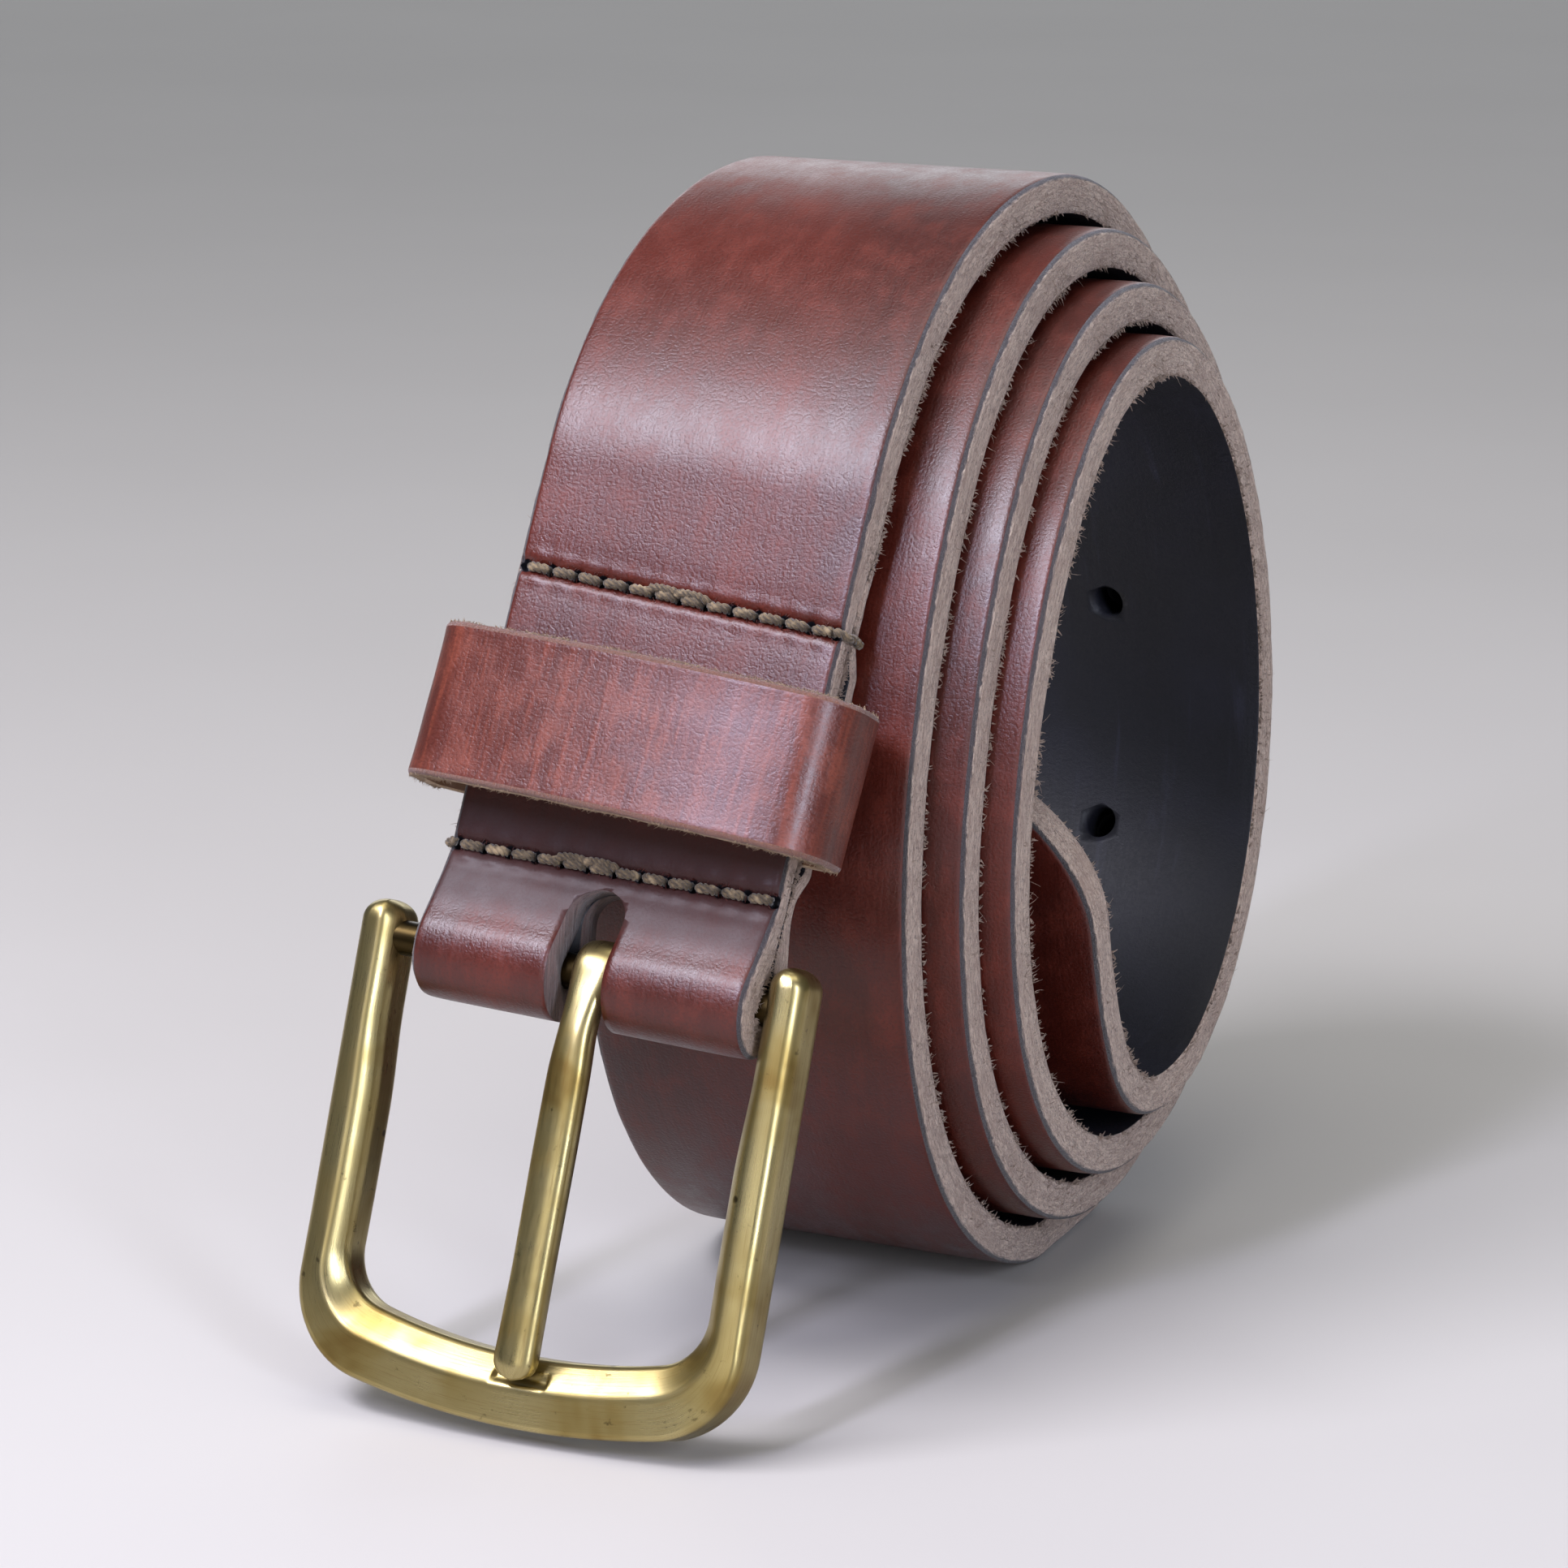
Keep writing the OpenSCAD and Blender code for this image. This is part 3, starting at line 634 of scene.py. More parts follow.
def sewn_dip(x, up):
    """How deep the leather is pulled in near a sewn row: a groove, deeper at each awl hole, and
    a soft pucker beside it."""
    dip = 0.0
    for row in (0, 1):
        d = up - row_height(row, x)
        if abs(d) > 5:
            continue
        beat = 0.5 + 0.5 * math.cos(2 * math.pi * x / STITCH_PITCH)
        dip += (0.34 + 0.5 * beat) * math.exp(-((d / 0.6) ** 2))
        dip -= 0.14 * (1 - 0.7 * beat) * math.exp(-(((abs(d) - 1.2) / 0.6) ** 2))
        dip += 0.2 * math.exp(-((d / 2.2) ** 2))
    return dip


def make_strap():
    verts, places, zones = [], [], []
    for s in stations:
        section = strip_section(s.half, s.thick)
        run, place = s.run, getattr(s, "place", None)
        for x, depth, zone in section:
            edge = 1 - abs(zone - 1)
            push = 0.0
            if zone < 0.6:
                near = max(0.0, 1 - (s.half - abs(x)) / RIM_W)
                push -= RIM_DROP * near * near
                push += 0.05 * wobble(run, x, 0, 14) + 0.02 * wobble(run, x, 5, 4, 1.3)
                if place is not None:
                    push -= sewn_dip(x, place[1])
            side = x
            if edge > 0.4:
                rough = 0.10 * wobble(run, depth, x, 1.7, 2.2) + 0.10 * wobble(run, depth, x, 6)
                side = x + math.copysign(1, x) * (rough * edge - 0.06)
            verts.append(s.point + side * s.across + (push - depth) * s.out)
            places.append((run, x, depth))
            zones.append(zone)
    faces = ring_faces(len(stations), len(section))
    materials = [mahogany, raw_edge, navy_flesh, shaded_slot_wall]
    strap = make_object("belt_strap", verts, faces, materials, zone_faces(faces, zones), places)
    cut(strap, strap_cutters())
    return strap


def drill(centre, axis, radius, reach, sides=32, flare=0.0):
    """Vertices and faces of a drill along axis through centre, wider at its first end by flare."""
    axis = unit(axis)
    u = unit(np.cross(axis, X_AXIS if abs(axis[0]) < 0.8 else np.array([0, 1.0, 0])))
    v = np.cross(axis, u)
    verts = []
    for end, r in ((-reach, radius + flare), (reach, radius)):
        for k in range(sides):
            a = 360 * k / sides
            verts.append(centre + end * axis + r * (cosd(a) * u + sind(a) * v))
    return verts, ring_faces(2, sides)


def slot_cutter():
    """The prong's slot: round at its top, open at the fold."""
    outline = [(SLOT_W / 2 * cosd(a), SLOT_TOP + SLOT_W / 2 * sind(a)) for a in range(0, 181, 12)]
    outline += [(-SLOT_W / 2, -FOLD_R - 2), (SLOT_W / 2, -FOLD_R - 2)]
    reach = FOLD_R + 2
    verts = [at_end(x, out, up) for out in (reach, -reach) for x, up in outline]
    return verts, ring_faces(2, len(outline))


def strap_cutters():
    solids = [(*slot_cutter(), SHADED_SLOT)]
    for k in range(HOLE_COUNT):
        a = SECOND_HOLE + (1 - k) * HOLE_PITCH / HOLE_RADIUS * 180 / math.pi
        heading = coil_heading(a)
        out = np.cross(heading, X_AXIS)
        solids.append((*drill(coil_point(a), out, HOLE_D / 2, 1.4 * STRAP_T), FLESH))
    for row in (0, 1):
        for k in range(STITCHES + 1):
            x = awl_x(k)
            centre = at_end(x, BAR_DEPTH, row_height(row, x))
            awl = drill(centre, -OUT, AWL_R, AWL_REACH, sides=12, flare=AWL_FLARE)
            # The awl holes' walls take the dark flesh material, as painted shade inside the holes
            solids.append((*awl, FLESH))
    return solids


def cut(obj, solids):
    """Cuts closed solids out of obj. Each brings the material of its walls."""
    verts, faces, walls = [], [], []
    for v, f, wall in solids:
        faces += [tuple(i + len(verts) for i in face) for face in f]
        verts += list(v)
        walls += [wall] * len(f)
    places = [(p[0], p[1], INNER_DEPTH) for p in verts]
    cutter = make_object("cutter", verts, faces, obj.data.materials[:], walls, places)
    work = bmesh.new()
    work.from_mesh(cutter.data)
    bmesh.ops.recalc_face_normals(work, faces=work.faces)
    work.to_mesh(cutter.data)
    work.free()
    modifier = obj.modifiers.new("cut", "BOOLEAN")
    modifier.operation, modifier.solver, modifier.object = "DIFFERENCE", "EXACT", cutter
    done = bpy.data.meshes.new_from_object(
        obj.evaluated_get(bpy.context.evaluated_depsgraph_get())
    )
    obj.modifiers.clear()
    obj.data = done
    bpy.data.objects.remove(cutter)


strap = make_strap()
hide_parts("strap")
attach(strap, "belt")


# ---------- Loose fibres along the raw edges ----------

# Places tried for a fibre, the share of short thick crumbs, and the radius of the fine hairs
STRAP_TRIES, KEEPER_TRIES, TORN_TRIES = 22000, 7000, 170
CRUMB_SHARE = 0.6
STRAP_HAIR_R, KEEPER_HAIR_R = 0.045, 0.04
# How deep in the leather a fibre is rooted, and the stations at the strap's turned-back end
# that have none
ROOT_DEPTH, BARE_STATIONS = 0.12, 140


def hairs(name, roots, material):
    """Short bent hairs and crumbs. roots are rows of (point, first direction, bend direction,
    length, radius)."""
    verts, faces, places = [], [], []
    for point, d, bend, length, thick in roots:
        d, bend = unit(d), unit(bend)
        u = unit(np.cross(d, bend) + 1e-4)
        v = np.cross(d, u)
        base = len(verts)
        for k in range(4):
            t = k / 3
            c = point + length * (t * d + 0.6 * t * t * bend)
            r = thick * (1 - 0.75 * t)
            for a in (90, 210, 330):
                verts.append(c + r * (cosd(a) * u + sind(a) * v))
                places.append((10 * t + point[1], point[0], INNER_DEPTH))
        faces += [tuple(i + base for i in f) for f in ring_faces(4, 3)]
    return make_object(name, verts, faces, [material], None, places)


def strap_hair_roots(count):
    """Roots for hairs(), in clumps along both edges of the strap."""
    roots = []
    for _ in range(count):
        i = random.randrange(4, len(stations) - BARE_STATIONS)
        s = stations[i]
        if s.half < 3:
            continue
        side = random.choice((-1, 1))
        clump = wobble(s.run, side * 9, 0, 3.5)
        if clump < random.uniform(-0.5, 0.5):
            continue
        crumb = random.random() < CRUMB_SHARE
        depth = s.thick * (random.uniform(0.9, 1.0) if crumb else random.uniform(0.3, 1.0))
        step = stations[i + 1].point - s.point
        along = unit(step)
        point = s.point + random.random() * step
        point = point + side * (s.half - ROOT_DEPTH) * s.across - depth * s.out
        d = side * s.across - random.uniform(-0.2, 1.2) * s.out + random.uniform(-1, 1) * along
        bend = random.uniform(-1, 1) * along - random.uniform(-0.3, 1) * s.out
        if crumb:
            roots.append((point, d, bend, random.uniform(0.2, 0.5), random.uniform(0.08, 0.17)))
        else:
            roots.append((point, d, bend, random.uniform(0.3, 1.0), STRAP_HAIR_R))
    return roots


fibres = hairs("edge_fibres", strap_hair_roots(STRAP_TRIES), raw_edge)
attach(fibres, "belt")


# ---------- Sewing ----------

# The thread against the CAD model's, how far from its awl holes a stitch comes up and goes down,
# and how far beside the row the doubled thread lies
THREAD_SWELL, STITCH_RISES, STITCH_DIVES, DOUBLED_SHIFT = 1.15, 0.68, 0.6, 0.6


def twisted(points, radius, plies=3, turns_per_mm=0.55, sides=7):
    """A twisted thread along points: plies strands wound round each other."""
    points = np.array(points)
    run = path_length(points)
    verts, faces, places = [], [], []
    strand = radius * 0.56
    for ply in range(plies):
        base = len(verts)
        for i, c in enumerate(points):
            heading = unit(points[min(i + 1, len(points) - 1)] - points[max(i - 1, 0)])
            u = unit(np.cross(heading, OUT) + 1e-6)
            v = np.cross(heading, u)
            turn = 360 * (ply / plies + turns_per_mm * run[i])
            middle = c + (radius - strand) * (cosd(turn) * u + sind(turn) * v)
            for j in range(sides):
                a = 360 * j / sides
                verts.append(middle + strand * (cosd(a) * u + sind(a) * v))
                places.append((run[i] * 2, ply + j / sides, ply))
        faces += [tuple(i + base for i in f) for f in ring_faces(len(points), sides)]
    return verts, faces, places


STITCH_STEPS, WRAP_STEPS = 18, 26


def stitch_points(x0, x1, row, face, lift, drop=1.0):
    """One stitch from hole to hole, over the grain of the front layer (face 1) or the
    turned-back layer (face -1)."""
    made = []
    for k in range(STITCH_STEPS):
        t = k / (STITCH_STEPS - 1)
        x = x0 + (x1 - x0) * (0.5 - 0.5 * math.cos(math.pi * t))
        rise = math.sin(math.pi * t) ** 0.45
        out = face * (BAR_DEPTH - drop + (drop + lift) * rise)
        made.append(at_end(x, out, row_height(row, x)))
    return made


def make_row(name, row):
    """A sewn row: its stitches on both layers, two of them doubled, the turn of thread round the
    strap's edge, and the torn grain beside it."""
    verts, faces, places = [], [], []

    def add(points, radius):
        v, f, p = twisted(points, radius)
        faces.extend(tuple(i + len(verts) for i in face) for face in f)
        verts.extend(v)
        places.extend(p)

    radius = THREAD_SWELL * THREAD_D / 2
    for face in (1, -1):
        for k in range(STITCHES):
            x0, x1 = awl_x(k), awl_x(k + 1)
            lift = 0.02 + 0.10 * wobble(k, face, row, 1.7)
            skew = 0.12 * wobble(k, row, face, 1.3, 2.0)
            points = stitch_points(x0 + STITCH_RISES, x1 - STITCH_DIVES, row, face, lift)
            add([p + skew * (i / 8.5 - 1) * UP for i, p in enumerate(points)], radius)
    doubled = (5, 6) if row else (4, 5)
    for k in doubled:
        points = stitch_points(awl_x(k) - 0.5, awl_x(k + 1) + 0.3, row, 1, 0.06)
        for i in range(STITCH_STEPS):
            bow = 0.4 + 0.6 * math.sin(math.pi * i / (STITCH_STEPS - 1))
            points[i] = points[i] + DOUBLED_SHIFT * bow * UP
        add(points, 0.9 * radius)
    wrap = []
    end = awl_x(STITCHES if row else 0)
    side = 1 if row else -1
    reach = HALF_W + 0.35 - abs(end)
    for k in range(WRAP_STEPS):
        t = k / (WRAP_STEPS - 1)
        a = math.pi * t
        x = end + side * reach * min(1.0, 1.25 * math.sin(a))
        out = BAR_DEPTH * math.cos(a) + (0.1 if t < 0.5 else -0.1)
        wrap.append(at_end(x, out, row_height(row, x) + 0.1 * math.sin(5 * a)))
    add(wrap, 0.9 * radius)
    torn = []
    for _ in range(TORN_TRIES):
        x = random.uniform(-HALF_W + 0.3, HALF_W - 0.3)
        beside = random.choice((-1, 1)) * random.uniform(0.5, 0.95)
        point = at_end(x, BAR_DEPTH - 0.35, row_height(row, x) + beside)
        d = OUT + random.uniform(-1, 1) * ACROSS + random.uniform(-0.8, 0.8) * UP
        torn.append((point, d, -beside * UP, random.uniform(0.2, 0.5), random.uniform(0.04, 0.1)))
    frayed = hairs(name + "_torn_grain", torn, mahogany)
    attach(frayed, "belt")
    made = make_object(name, verts, faces, [khaki], None, places)
    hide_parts("stitch_row_upper" if row else "stitch_row_lower")
    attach(made, "belt")


make_row("thread_lower", 0)
make_row("thread_upper", 1)


# ---------- Keeper ----------


def keeper_path():
    """The inner face of the loop, round from the seam behind: rows of (x, out, nx, nout)."""
    back, front = BAR_DEPTH - FRONT_T - SIDE_ROOM, BAR_DEPTH + KEEPER_ROOM
    half, r = HALF_W + KEEPER_SIDE, KEEPER_CORNER
    bow_r = (half**2 + KEEPER_BOW**2) / (2 * KEEPER_BOW)
    bow_y = front + KEEPER_BOW - bow_r
    corner = bow_y + math.sqrt((bow_r - r) ** 2 - (half - r) ** 2)
    reach = 90 - math.degrees(math.atan2(half - r, corner - bow_y))
    seam = 0.15
    br = KEEPER_BACK_CORNER
    rows = [(x, back, 0, -1) for x in np.linspace(seam, half - br, 30)]
    for a in np.linspace(-90, 0, 15)[1:]:
        rows.append((half - br + br * cosd(a), back + br + br * sind(a), cosd(a), sind(a)))
    rows.append((half, (back + br + corner) / 2, 1, 0))
    for a in np.linspace(0, reach, 14):
        rows.append((half - r + r * cosd(a), corner + r * sind(a), cosd(a), sind(a)))
    for a in np.linspace(reach, 90, 50)[1:]:
        rows.append((bow_r * cosd(a), bow_y + bow_r * sind(a), cosd(a), sind(a)))
    rows += [(-x, y, -nx, ny) for x, y, nx, ny in reversed(rows[:-1])]
    return np.array(rows)


# How far the keeper's edges are drawn in behind the strap, as a share, to clear its pocket
BACK_INSET = 0.02


def make_keeper():
    path = keeper_path()
    half = KEEPER_W / 2
    section = strip_section(half, KEEPER_T, 0.5, 0.25, 23, 3, 9)
    verts, places, zones = [], [], []
    run = 0.0
    for i, (x, y, nx, ny) in enumerate(path):
        if i:
            run += math.hypot(x - path[i - 1][0], y - path[i - 1][1])
        front = smooth((y - 1) / 4)
        for w, depth, zone in section:
            edge = 1 - abs(zone - 1)
            wave = 0.10 * wobble(run, w, 0, 12, 4.0) + 0.03 * wobble(run, w, 2, 3.5, 5.0)
            lip = 0.10 * front * (abs(w) / half) ** 6
            out = KEEPER_T - depth + (wave * front + lip if ny > -0.5 else 0.0)
            rough = 0.09 * wobble(run, depth, w, 1.4, 6.0) + 0.12 * wobble(run, 0, w, 7, 6.5)
            rough *= 1.0 if ny > -0.5 else 0.2
            up = w * (1 - BACK_INSET * smooth(-ny))
            up += math.copysign(rough * edge, w) if edge > 0.4 else 0
            verts.append(at_keeper(x + out * nx, y + out * ny, up))
            places.append((w, run, depth))
            zones.append(zone)
    faces = ring_faces(len(path), len(section))
    materials = [keeper_grain, keeper_edge, tan_flesh]
    walls = zone_faces(faces, zones, 0.12)
    keeper = make_object("keeper", verts, faces, materials, walls, places)
    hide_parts("keeper_loop")
    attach(keeper, "keeper")
    roots = []
    for _ in range(KEEPER_TRIES):
        i = random.randrange(2, len(path) - 2)
        x, y, nx, ny = path[i]
        if ny < -0.5:
            continue
        side = random.choice((-1, 1))
        if wobble(x, y, side * 4, 2.5) < random.uniform(-0.4, 0.5):
            continue
        out = random.uniform(0.15, 1.4)
        point = at_keeper(x + out * nx, y + out * ny, side * (half - ROOT_DEPTH))
        along = unit(-ny * ACROSS + nx * OUT)
        d = side * UP + random.uniform(-1, 1) * along + random.uniform(-0.4, 0.5) * OUT
        bend = random.uniform(-1, 1) * along + 0.2 * OUT
        if random.random() < CRUMB_SHARE:
            roots.append((point, d, bend, random.uniform(0.15, 0.42), random.uniform(0.07, 0.14)))
        else:
            roots.append((point, d, bend, random.uniform(0.15, 0.6), KEEPER_HAIR_R))
    fuzz = hairs("keeper_fibres", roots, keeper_edge)
    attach(fuzz, "keeper")


make_keeper()


# ---------- Buckle frame ----------

# Points along each arm, corner and the front bar, and those over which an arm turns into the bar
ARM_N, CORNER_N, BOW_N = 46, 26, 150
TURN_FROM, TURN_OVER = 34, 40
# How much wider the arms grow inwards below the strap
ARM_SWELL = 0.4

inner_half = FRAME_W / 2 - ARM_W
front_z = KNUCKLE_TOP - FRAME_L
outer_bow_r = ((FRAME_W / 2) ** 2 + FRONT_BOW**2) / (2 * FRONT_BOW)
outer_bow_z = front_z - FRONT_BOW + outer_bow_r
inner_bow_r = 0.8 * outer_bow_r
inner_bow_z = front_z - FRONT_BOW + FRONT_BAR_H + inner_bow_r


def frame_edge(half, corner_r, bow_r, bow_z, top):
    """One edge of the frame from the top of the left arm, along the front bar and up the right
    arm, as (x, up) points. Both edges have the same number of points."""
    cx = half - corner_r
    cz = bow_z - math.sqrt((bow_r - corner_r) ** 2 - cx**2)
    q = math.degrees(math.atan2(cx, bow_z - cz))
    left = [(-half, top + (cz - top) * k / ARM_N) for k in range(ARM_N)]
    for k in range(CORNER_N):
        a = 180 + (90 - q) * k / CORNER_N
        left.append((-cx + corner_r * cosd(a), cz + corner_r * sind(a)))
    bow = []
    for k in range(BOW_N + 1):
        a = 270 - q + 2 * q * k / BOW_N
        bow.append((bow_r * cosd(a), bow_z + bow_r * sind(a)))
    right = [(-x, z) for x, z in reversed(left)]
    return left + bow + right


def frame_stations():
    """Pairs of outer and inner edge points, with the rounded tops of the arms, and how far each
    belongs to the front bar (1) or to an arm (0)."""
    r = ARM_W / 2
    top = KNUCKLE_TOP - r
    outer = frame_edge(FRAME_W / 2, CORNER_R, outer_bow_r, outer_bow_z, top)
    inner = frame_edge(inner_half, WINDOW_R, inner_bow_r, inner_bow_z, top)
    n = len(outer)
    rows = []
    for k in range(n):
        t = min(k, n - 1 - k)
        (x, z), bar = inner[k], smooth((t - TURN_FROM) / TURN_OVER)
        x -= math.copysign(ARM_SWELL * (1 - bar) * smooth((-z - 6) / 10), x)
        rows.append((outer[k], (x, z), bar, 1.0))
    cap = []
    middle = FRAME_W / 2 - r
    for k in range(1, 15):
        a = 88 * k / 14
        half, z = r * cosd(a), top + r * sind(a)
        cap.append(((-middle - half, z), (-middle + half, z), 0.0, cosd(a) ** 0.55))
    left = list(reversed(cap))
    right = [((-o[0], o[1]), (-i[0], i[1]), b, s) for o, i, b, s in cap]
    return left + rows + right


# Shape of the frame's face: its height at the outer edge, the place of its crest, and its
# height at the inner edge
OUTER_H, CREST_AT, INNER_H = 2.2, 0.56, 0.9
# The prong's seat in the front bar, as x across the frame: it is open to the right of the prong
seat_middle = FRAME_SHIFT + PRONG_SHIFT + (front_z - FRONT_BOW + NOTCH_LOW) * math.sin(tilt)
SEAT_LEFT, SEAT_RIGHT = seat_middle - PRONG_W / 2 - 0.3, seat_middle + PRONG_W / 2 + 0.9


def frame_face(w, bar, x):
    """Height of the frame's front face at w across from the outer edge (0) to the inner (1)."""
    top = FRAME_T / 2
    out_w = min(1.0, w / CREST_AT)
    in_w = max(0.0, (w - CREST_AT) / (1 - CREST_AT))
    arm = OUTER_H + (top - OUTER_H) * math.sin(math.pi / 2 * out_w) - (top - INNER_H) * in_w**1.9
    flat = OUTER_H + (top - OUTER_H) * out_w - (top - INNER_H) * in_w**1.15
    face = (1 - bar) * arm + bar * flat
    if bar > 0.9 and w > 0.5:
        beside = max(SEAT_LEFT - x, x - SEAT_RIGHT)
        wall = smooth(beside / 0.3)
        ends = smooth((0.655 - w) / 0.04)
        seat = top - NOTCH_D
        face = min(face, seat + (face - seat) * max(wall, ends))
    return face


def frame_section(width, bar, x0, x1):
    """The section of the frame where it is width across, as (w, height) points round it: the
    outer side, the front face, the inner side and the back, with small rounded rims."""
    back = -FRAME_T / 2
    outer_rim, inner_rim, back_rim = (1.15 - 0.6 * bar), 0.45, 0.8
    rows = [(0.0, h) for h in np.linspace(back + back_rim, OUTER_H - outer_rim, 6)]
    for a in (20, 42, 66):
        w = outer_rim * (1 - cosd(a)) / width
        face = frame_face(w, bar, x0)
        rows.append((w, face - outer_rim * (1 - sind(a))))
    for k in range(28):
        t = 0.5 - 0.5 * math.cos(math.pi * k / 27)
        w = (outer_rim + (width - outer_rim - inner_rim) * t) / width
        rows.append((w, frame_face(w, bar, x0 + (x1 - x0) * w)))
    for a in (66, 42, 20):
        w = 1 - inner_rim * (1 - cosd(a)) / width
        rows.append((w, frame_face(w, bar, x1) - inner_rim * (1 - sind(a))))
    rows += [(1.0, h) for h in np.linspace(INNER_H - inner_rim, back + back_rim, 5)]
    for a in (30, 60, 90):
        rows.append((1 - back_rim * (1 - cosd(a)) / width, back + back_rim * (1 - sind(a))))
    for a in (90, 60, 30):
        rows.append((back_rim * (1 - cosd(a)) / width, back + back_rim * (1 - sind(a))))
    return rows


def make_frame():
    verts, places = [], []
    run = 0.0
    last = None
    rows = frame_stations()
    for outer, inner, bar, size in rows:
        o, i = np.array(outer), np.array(inner)
        middle = (o + i) / 2
        if last is not None:
            run += np.linalg.norm(middle - last)
        last = middle
        section = frame_section(max(1.6, np.linalg.norm(i - o)), bar, o[0], i[0])
        for k, (w, h) in enumerate(section):
            p = o + (i - o) * w
            verts.append(at_frame(p[0], h * size, p[1]))
            places.append((run, 0.4 * k, 0))
    faces = ring_faces(len(rows), len(section))
    made = make_object("buckle_frame_brass", verts, faces, [brass], None, places)
    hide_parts("buckle_frame")
    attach(made, "buckle")


make_frame()


# ---------- Prong ----------


def prong_line():
    """The prong's middle line with its thickness and width: round the bar, then down to the tip.
    Rows of (out, up, thickness, width)."""
    eye_t = 1.7
    eye = BORE_R + eye_t / 2
    rows = []
    for a in range(228, 0, -6):
        rows.append((eye * cosd(a), eye * sind(a), eye_t, 4.2))
    tip = front_z - FRONT_BOW + NOTCH_LOW + 0.6
    face_tip = FRAME_T / 2 - NOTCH_D + SIDE_ROOM + PRONG_T
    knots = [(eye, 0, eye_t, 4.1), (3.1, -2.6, 2.3, 3.5), (3.5, -5.5, PRONG_T, 3.5)]
    knots += [(3.62, -9, PRONG_T, 4.0), (3.5, -16, PRONG_T, 4.1), (3.25, -28, 2.7, 4.0)]
    tip_out = face_tip - PRONG_T / 2
    knots += [(tip_out, tip + 3.5, 2.7, 4.2), (tip_out, tip, 2.7, 4.3)]
    line = np.array(knots)
    for up in np.arange(0, tip - 0.01, -0.4):
        rows.append([np.interp(-up, -line[:, 1], line[:, k]) for k in range(4)])
    return smoothed(np.array(rows, float), 6)


def make_prong():
    line = prong_line()
    run = path_length(line[:, :2])
    verts, places = [], []
    around, tip_l, tip_least = 30, 2.0, 0.06
    for i, (out, up, thick, width) in enumerate(line):
        a, b = line[max(i - 1, 0)], line[min(i + 1, len(line) - 1)]
        d = unit(b[:2] - a[:2])
        normal = np.array([-d[1], d[0]])
        left = min(1.0, (run[-1] - run[i]) / tip_l)
        ease = max(tip_least, math.sqrt(max(0.0, 1 - (1 - left) ** 2)))
        for k in range(around):
            t = 360 * k / around
            c, s = cosd(t), sind(t)
            x = width / 2 * math.copysign(abs(c) ** 0.85, c) * ease
            power = 0.75 if s > 0 else 0.4
            h = thick / 2 * math.copysign(abs(s) ** power, s) * (0.35 + 0.65 * ease)
            if s < 0:
                h *= 0.96
            p = np.array([out, up]) + h * normal
            verts.append(at_buckle(PRONG_SHIFT + x, p[0], p[1]))
            places.append((run[i], 5 * k / around, 9))
    made = make_object("prong_brass", verts, ring_faces(len(line), around), [brass], None, places)
    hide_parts("prong")
    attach(made, "tongue")


make_prong()


# ---------- Pieces kept from the CAD model ----------

steel = Mat("staple_steel", Metallic=1.0)
steel_noise = steel.noise(steel.solid(), 1200.0, 3.0)
steel.finish(
    steel.mix(steel_noise, rgb(150, 150, 152), rgb(196, 196, 198)),
    steel.ramp(steel_noise, 0.3, 0.7, 0.25, 0.45),
)
# The bar through the fold: brass painted very dark, as painted shade where it lies in the fold
shaded_bar = Mat("bar_brass_painted_shade", Metallic=1.0)
shaded_bar_noise = shaded_bar.noise(shaded_bar.scaled(shaded_bar.solid(), (80, 900, 900)), 1.0, 3.0)
shaded_bar.finish(
    shaded_bar.mix(shaded_bar_noise, rgb(38, 30, 17), rgb(70, 57, 32)),
    shaded_bar.ramp(shaded_bar_noise, 0.3, 0.7, 0.25, 0.42),
    shaded_bar.bump(shaded_bar_noise, 0.3, 0.00005),
)
for name, made in (("keeper_staple", steel.material), ("buckle_bar", shaded_bar.material)):
    node = frame["nodes"][name]
    node.data.materials.clear()
    node.data.materials.append(made)


# ---------- Floor, light and camera ----------


def make_floor():
    half = 12000
    verts = [(-half, -half, 0), (half, -half, 0), (half, half, 0), (-half, half, 0)]
    pale = Mat("pale_floor", Roughness=0.6, Specular_IOR_Level=0.3)
    tone = pale.noise(pale.solid(), 6.0, 3.0)
    pale.finish(pale.mix(tone, rgb(172, 168, 162), rgb(182, 178, 172)))
    make_object("floor", verts, [(0, 1, 2, 3)], [pale.material])


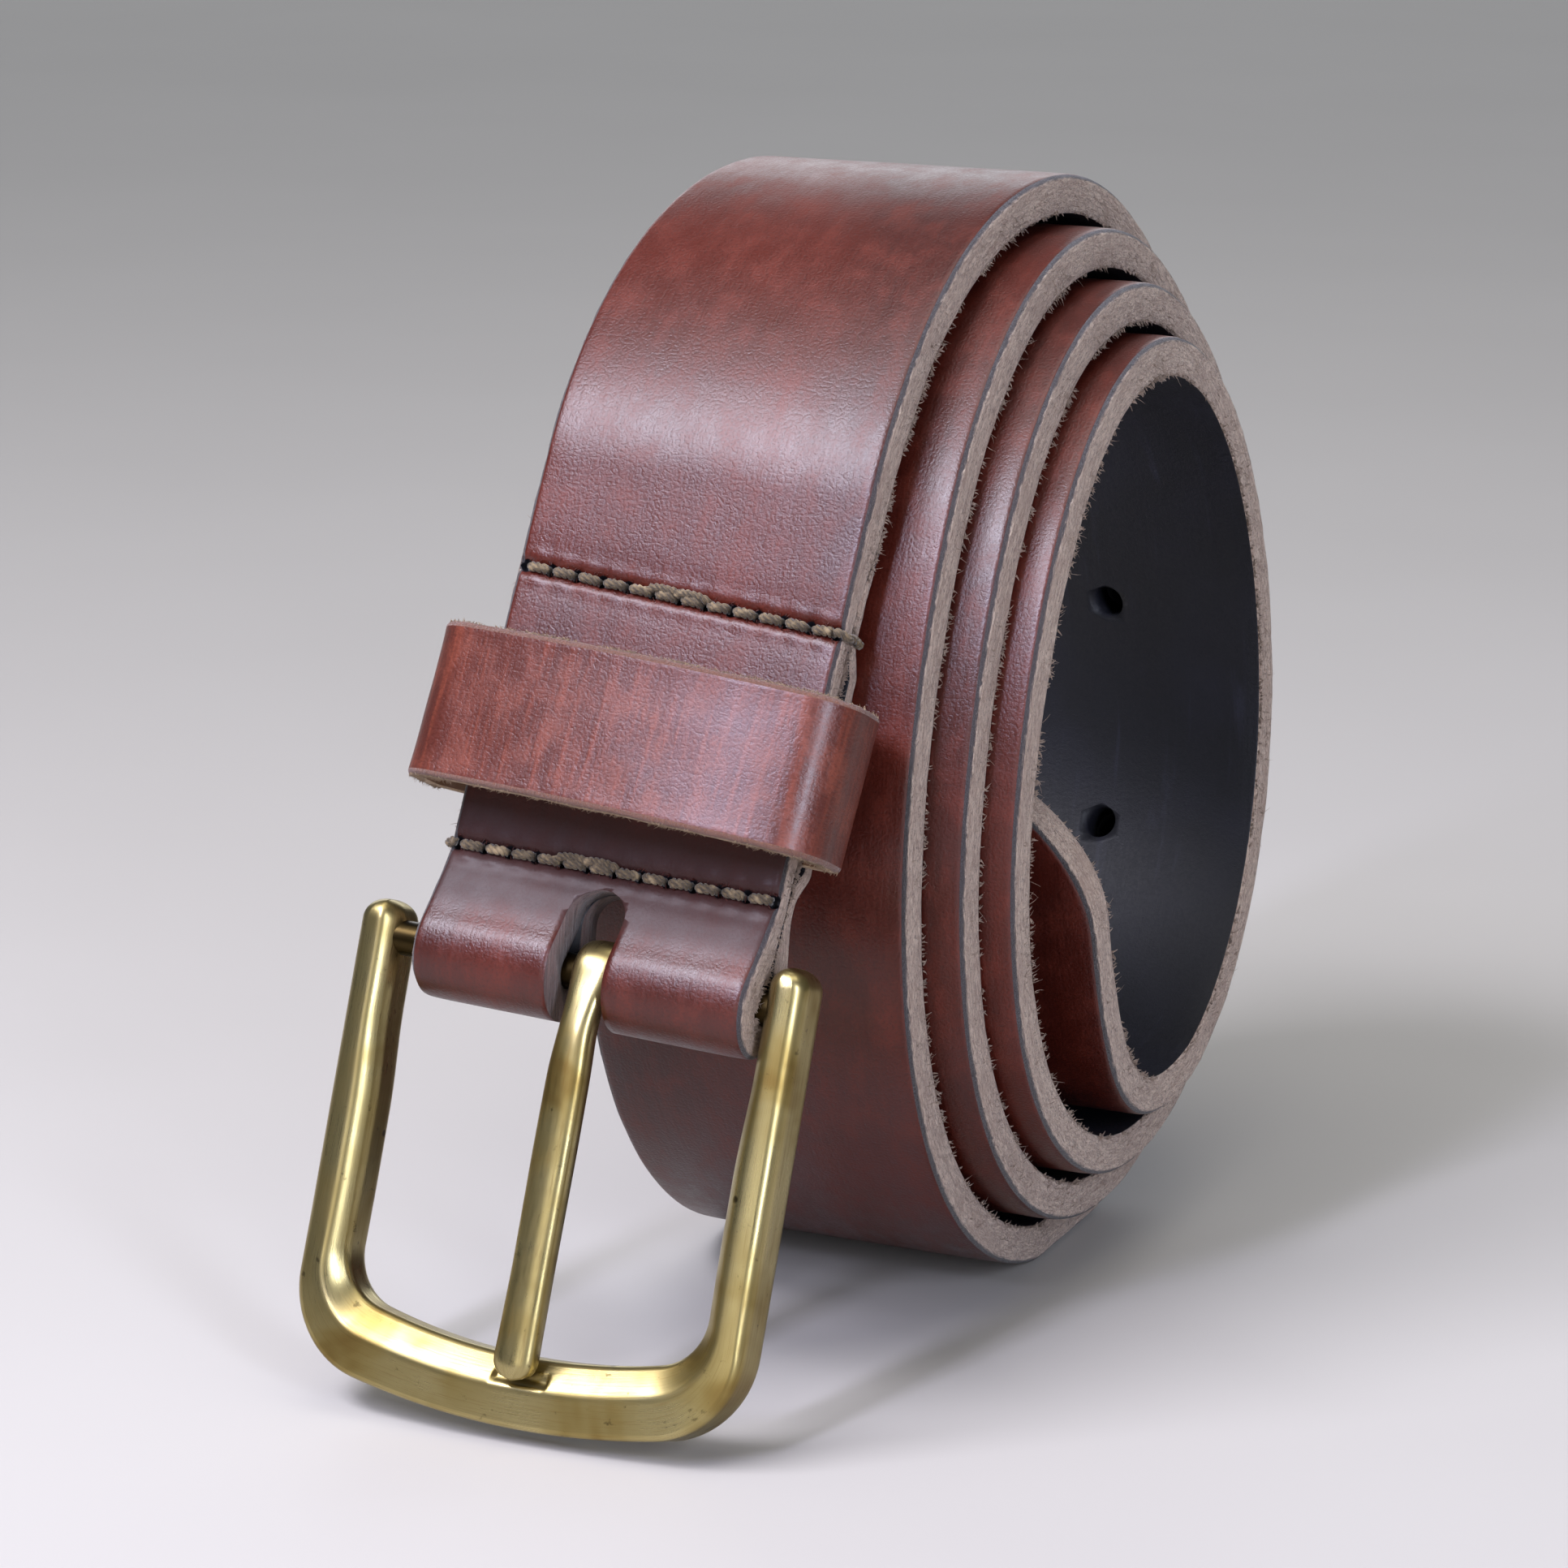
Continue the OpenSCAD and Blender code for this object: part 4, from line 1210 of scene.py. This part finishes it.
def softbox(name, place, target, size, power, colour):
    """A rectangular lamp at place that faces target, both in millimetres; power is in watts."""
    data = bpy.data.lights.new(name, "AREA")
    data.shape, data.size, data.size_y = "RECTANGLE", size[0] * MM, size[1] * MM
    data.energy, data.color = power, colour
    lamp = bpy.data.objects.new(name, data)
    lamp.location = Vector(place) * MM
    aim = (Vector(target) - Vector(place)).to_track_quat("-Z", "Y")
    lamp.rotation_mode, lamp.rotation_quaternion = "QUATERNION", aim
    lamp.visible_camera = False
    bpy.context.scene.collection.objects.link(lamp)


# The camera's direction from the belt and roll in degrees, its lens, and its place from the
# foot of the coil's middle in millimetres
VIEW_ANGLES, SENSOR_W, LENS = (26.77, 13.92, -0.25), 36.0, 120.77
CAMERA_AWAY = (226.1, -475.6, 177.9)


def make_camera():
    azimuth, elevation, roll = map(math.radians, VIEW_ANGLES)
    level = math.cos(elevation)
    back = Vector((math.sin(azimuth) * level, -math.cos(azimuth) * level, math.sin(elevation)))
    data = bpy.data.cameras.new("camera")
    data.sensor_width, data.lens = SENSOR_W, LENS
    data.clip_start, data.clip_end = 0.01, 20
    camera = bpy.data.objects.new("camera", data)
    camera.location = (Vector((*COIL_AT, 0)) + Vector(CAMERA_AWAY)) * MM
    camera.rotation_euler = (-back).to_track_quat("-Z", "Y").to_euler()
    camera.rotation_euler.rotate_axis("Z", roll)
    bpy.context.scene.collection.objects.link(camera)
    bpy.context.scene.camera = camera


make_floor()
make_camera()
softbox("key", (-206, -354, 601), (0, -20, 80), (400, 170), 6.0, (0.86, 0.86, 1.0))
softbox("band", (-79, -561, 491), (0, -20, 60), (60, 240), 2.6, (0.70, 0.72, 1.0))
softbox("side", (560, -450, 290), (0, -20, 60), (110, 420), 3.6, (0.76, 0.82, 1.0))
softbox("wall", (-1300, 2600, 900), (0, 0, 90), (3000, 1000), 20.0, (0.92, 0.95, 1.0))
softbox("top", (60, -40, 900), (0, 0, 0), (700, 700), 3.6, (1.0, 0.98, 0.95))
softbox("front", (100, -1300, 240), (0, 0, 60), (700, 300), 1.5, (1.0, 0.97, 0.94))

world = bpy.data.worlds.new("studio")
world.use_nodes = True
sky = world.node_tree.nodes["Background"]
sky.inputs["Color"].default_value = (0.86, 0.89, 0.95, 1)
sky.inputs["Strength"].default_value = 0.16
bpy.context.scene.world = world
bpy.context.scene.view_settings.view_transform = "Standard"
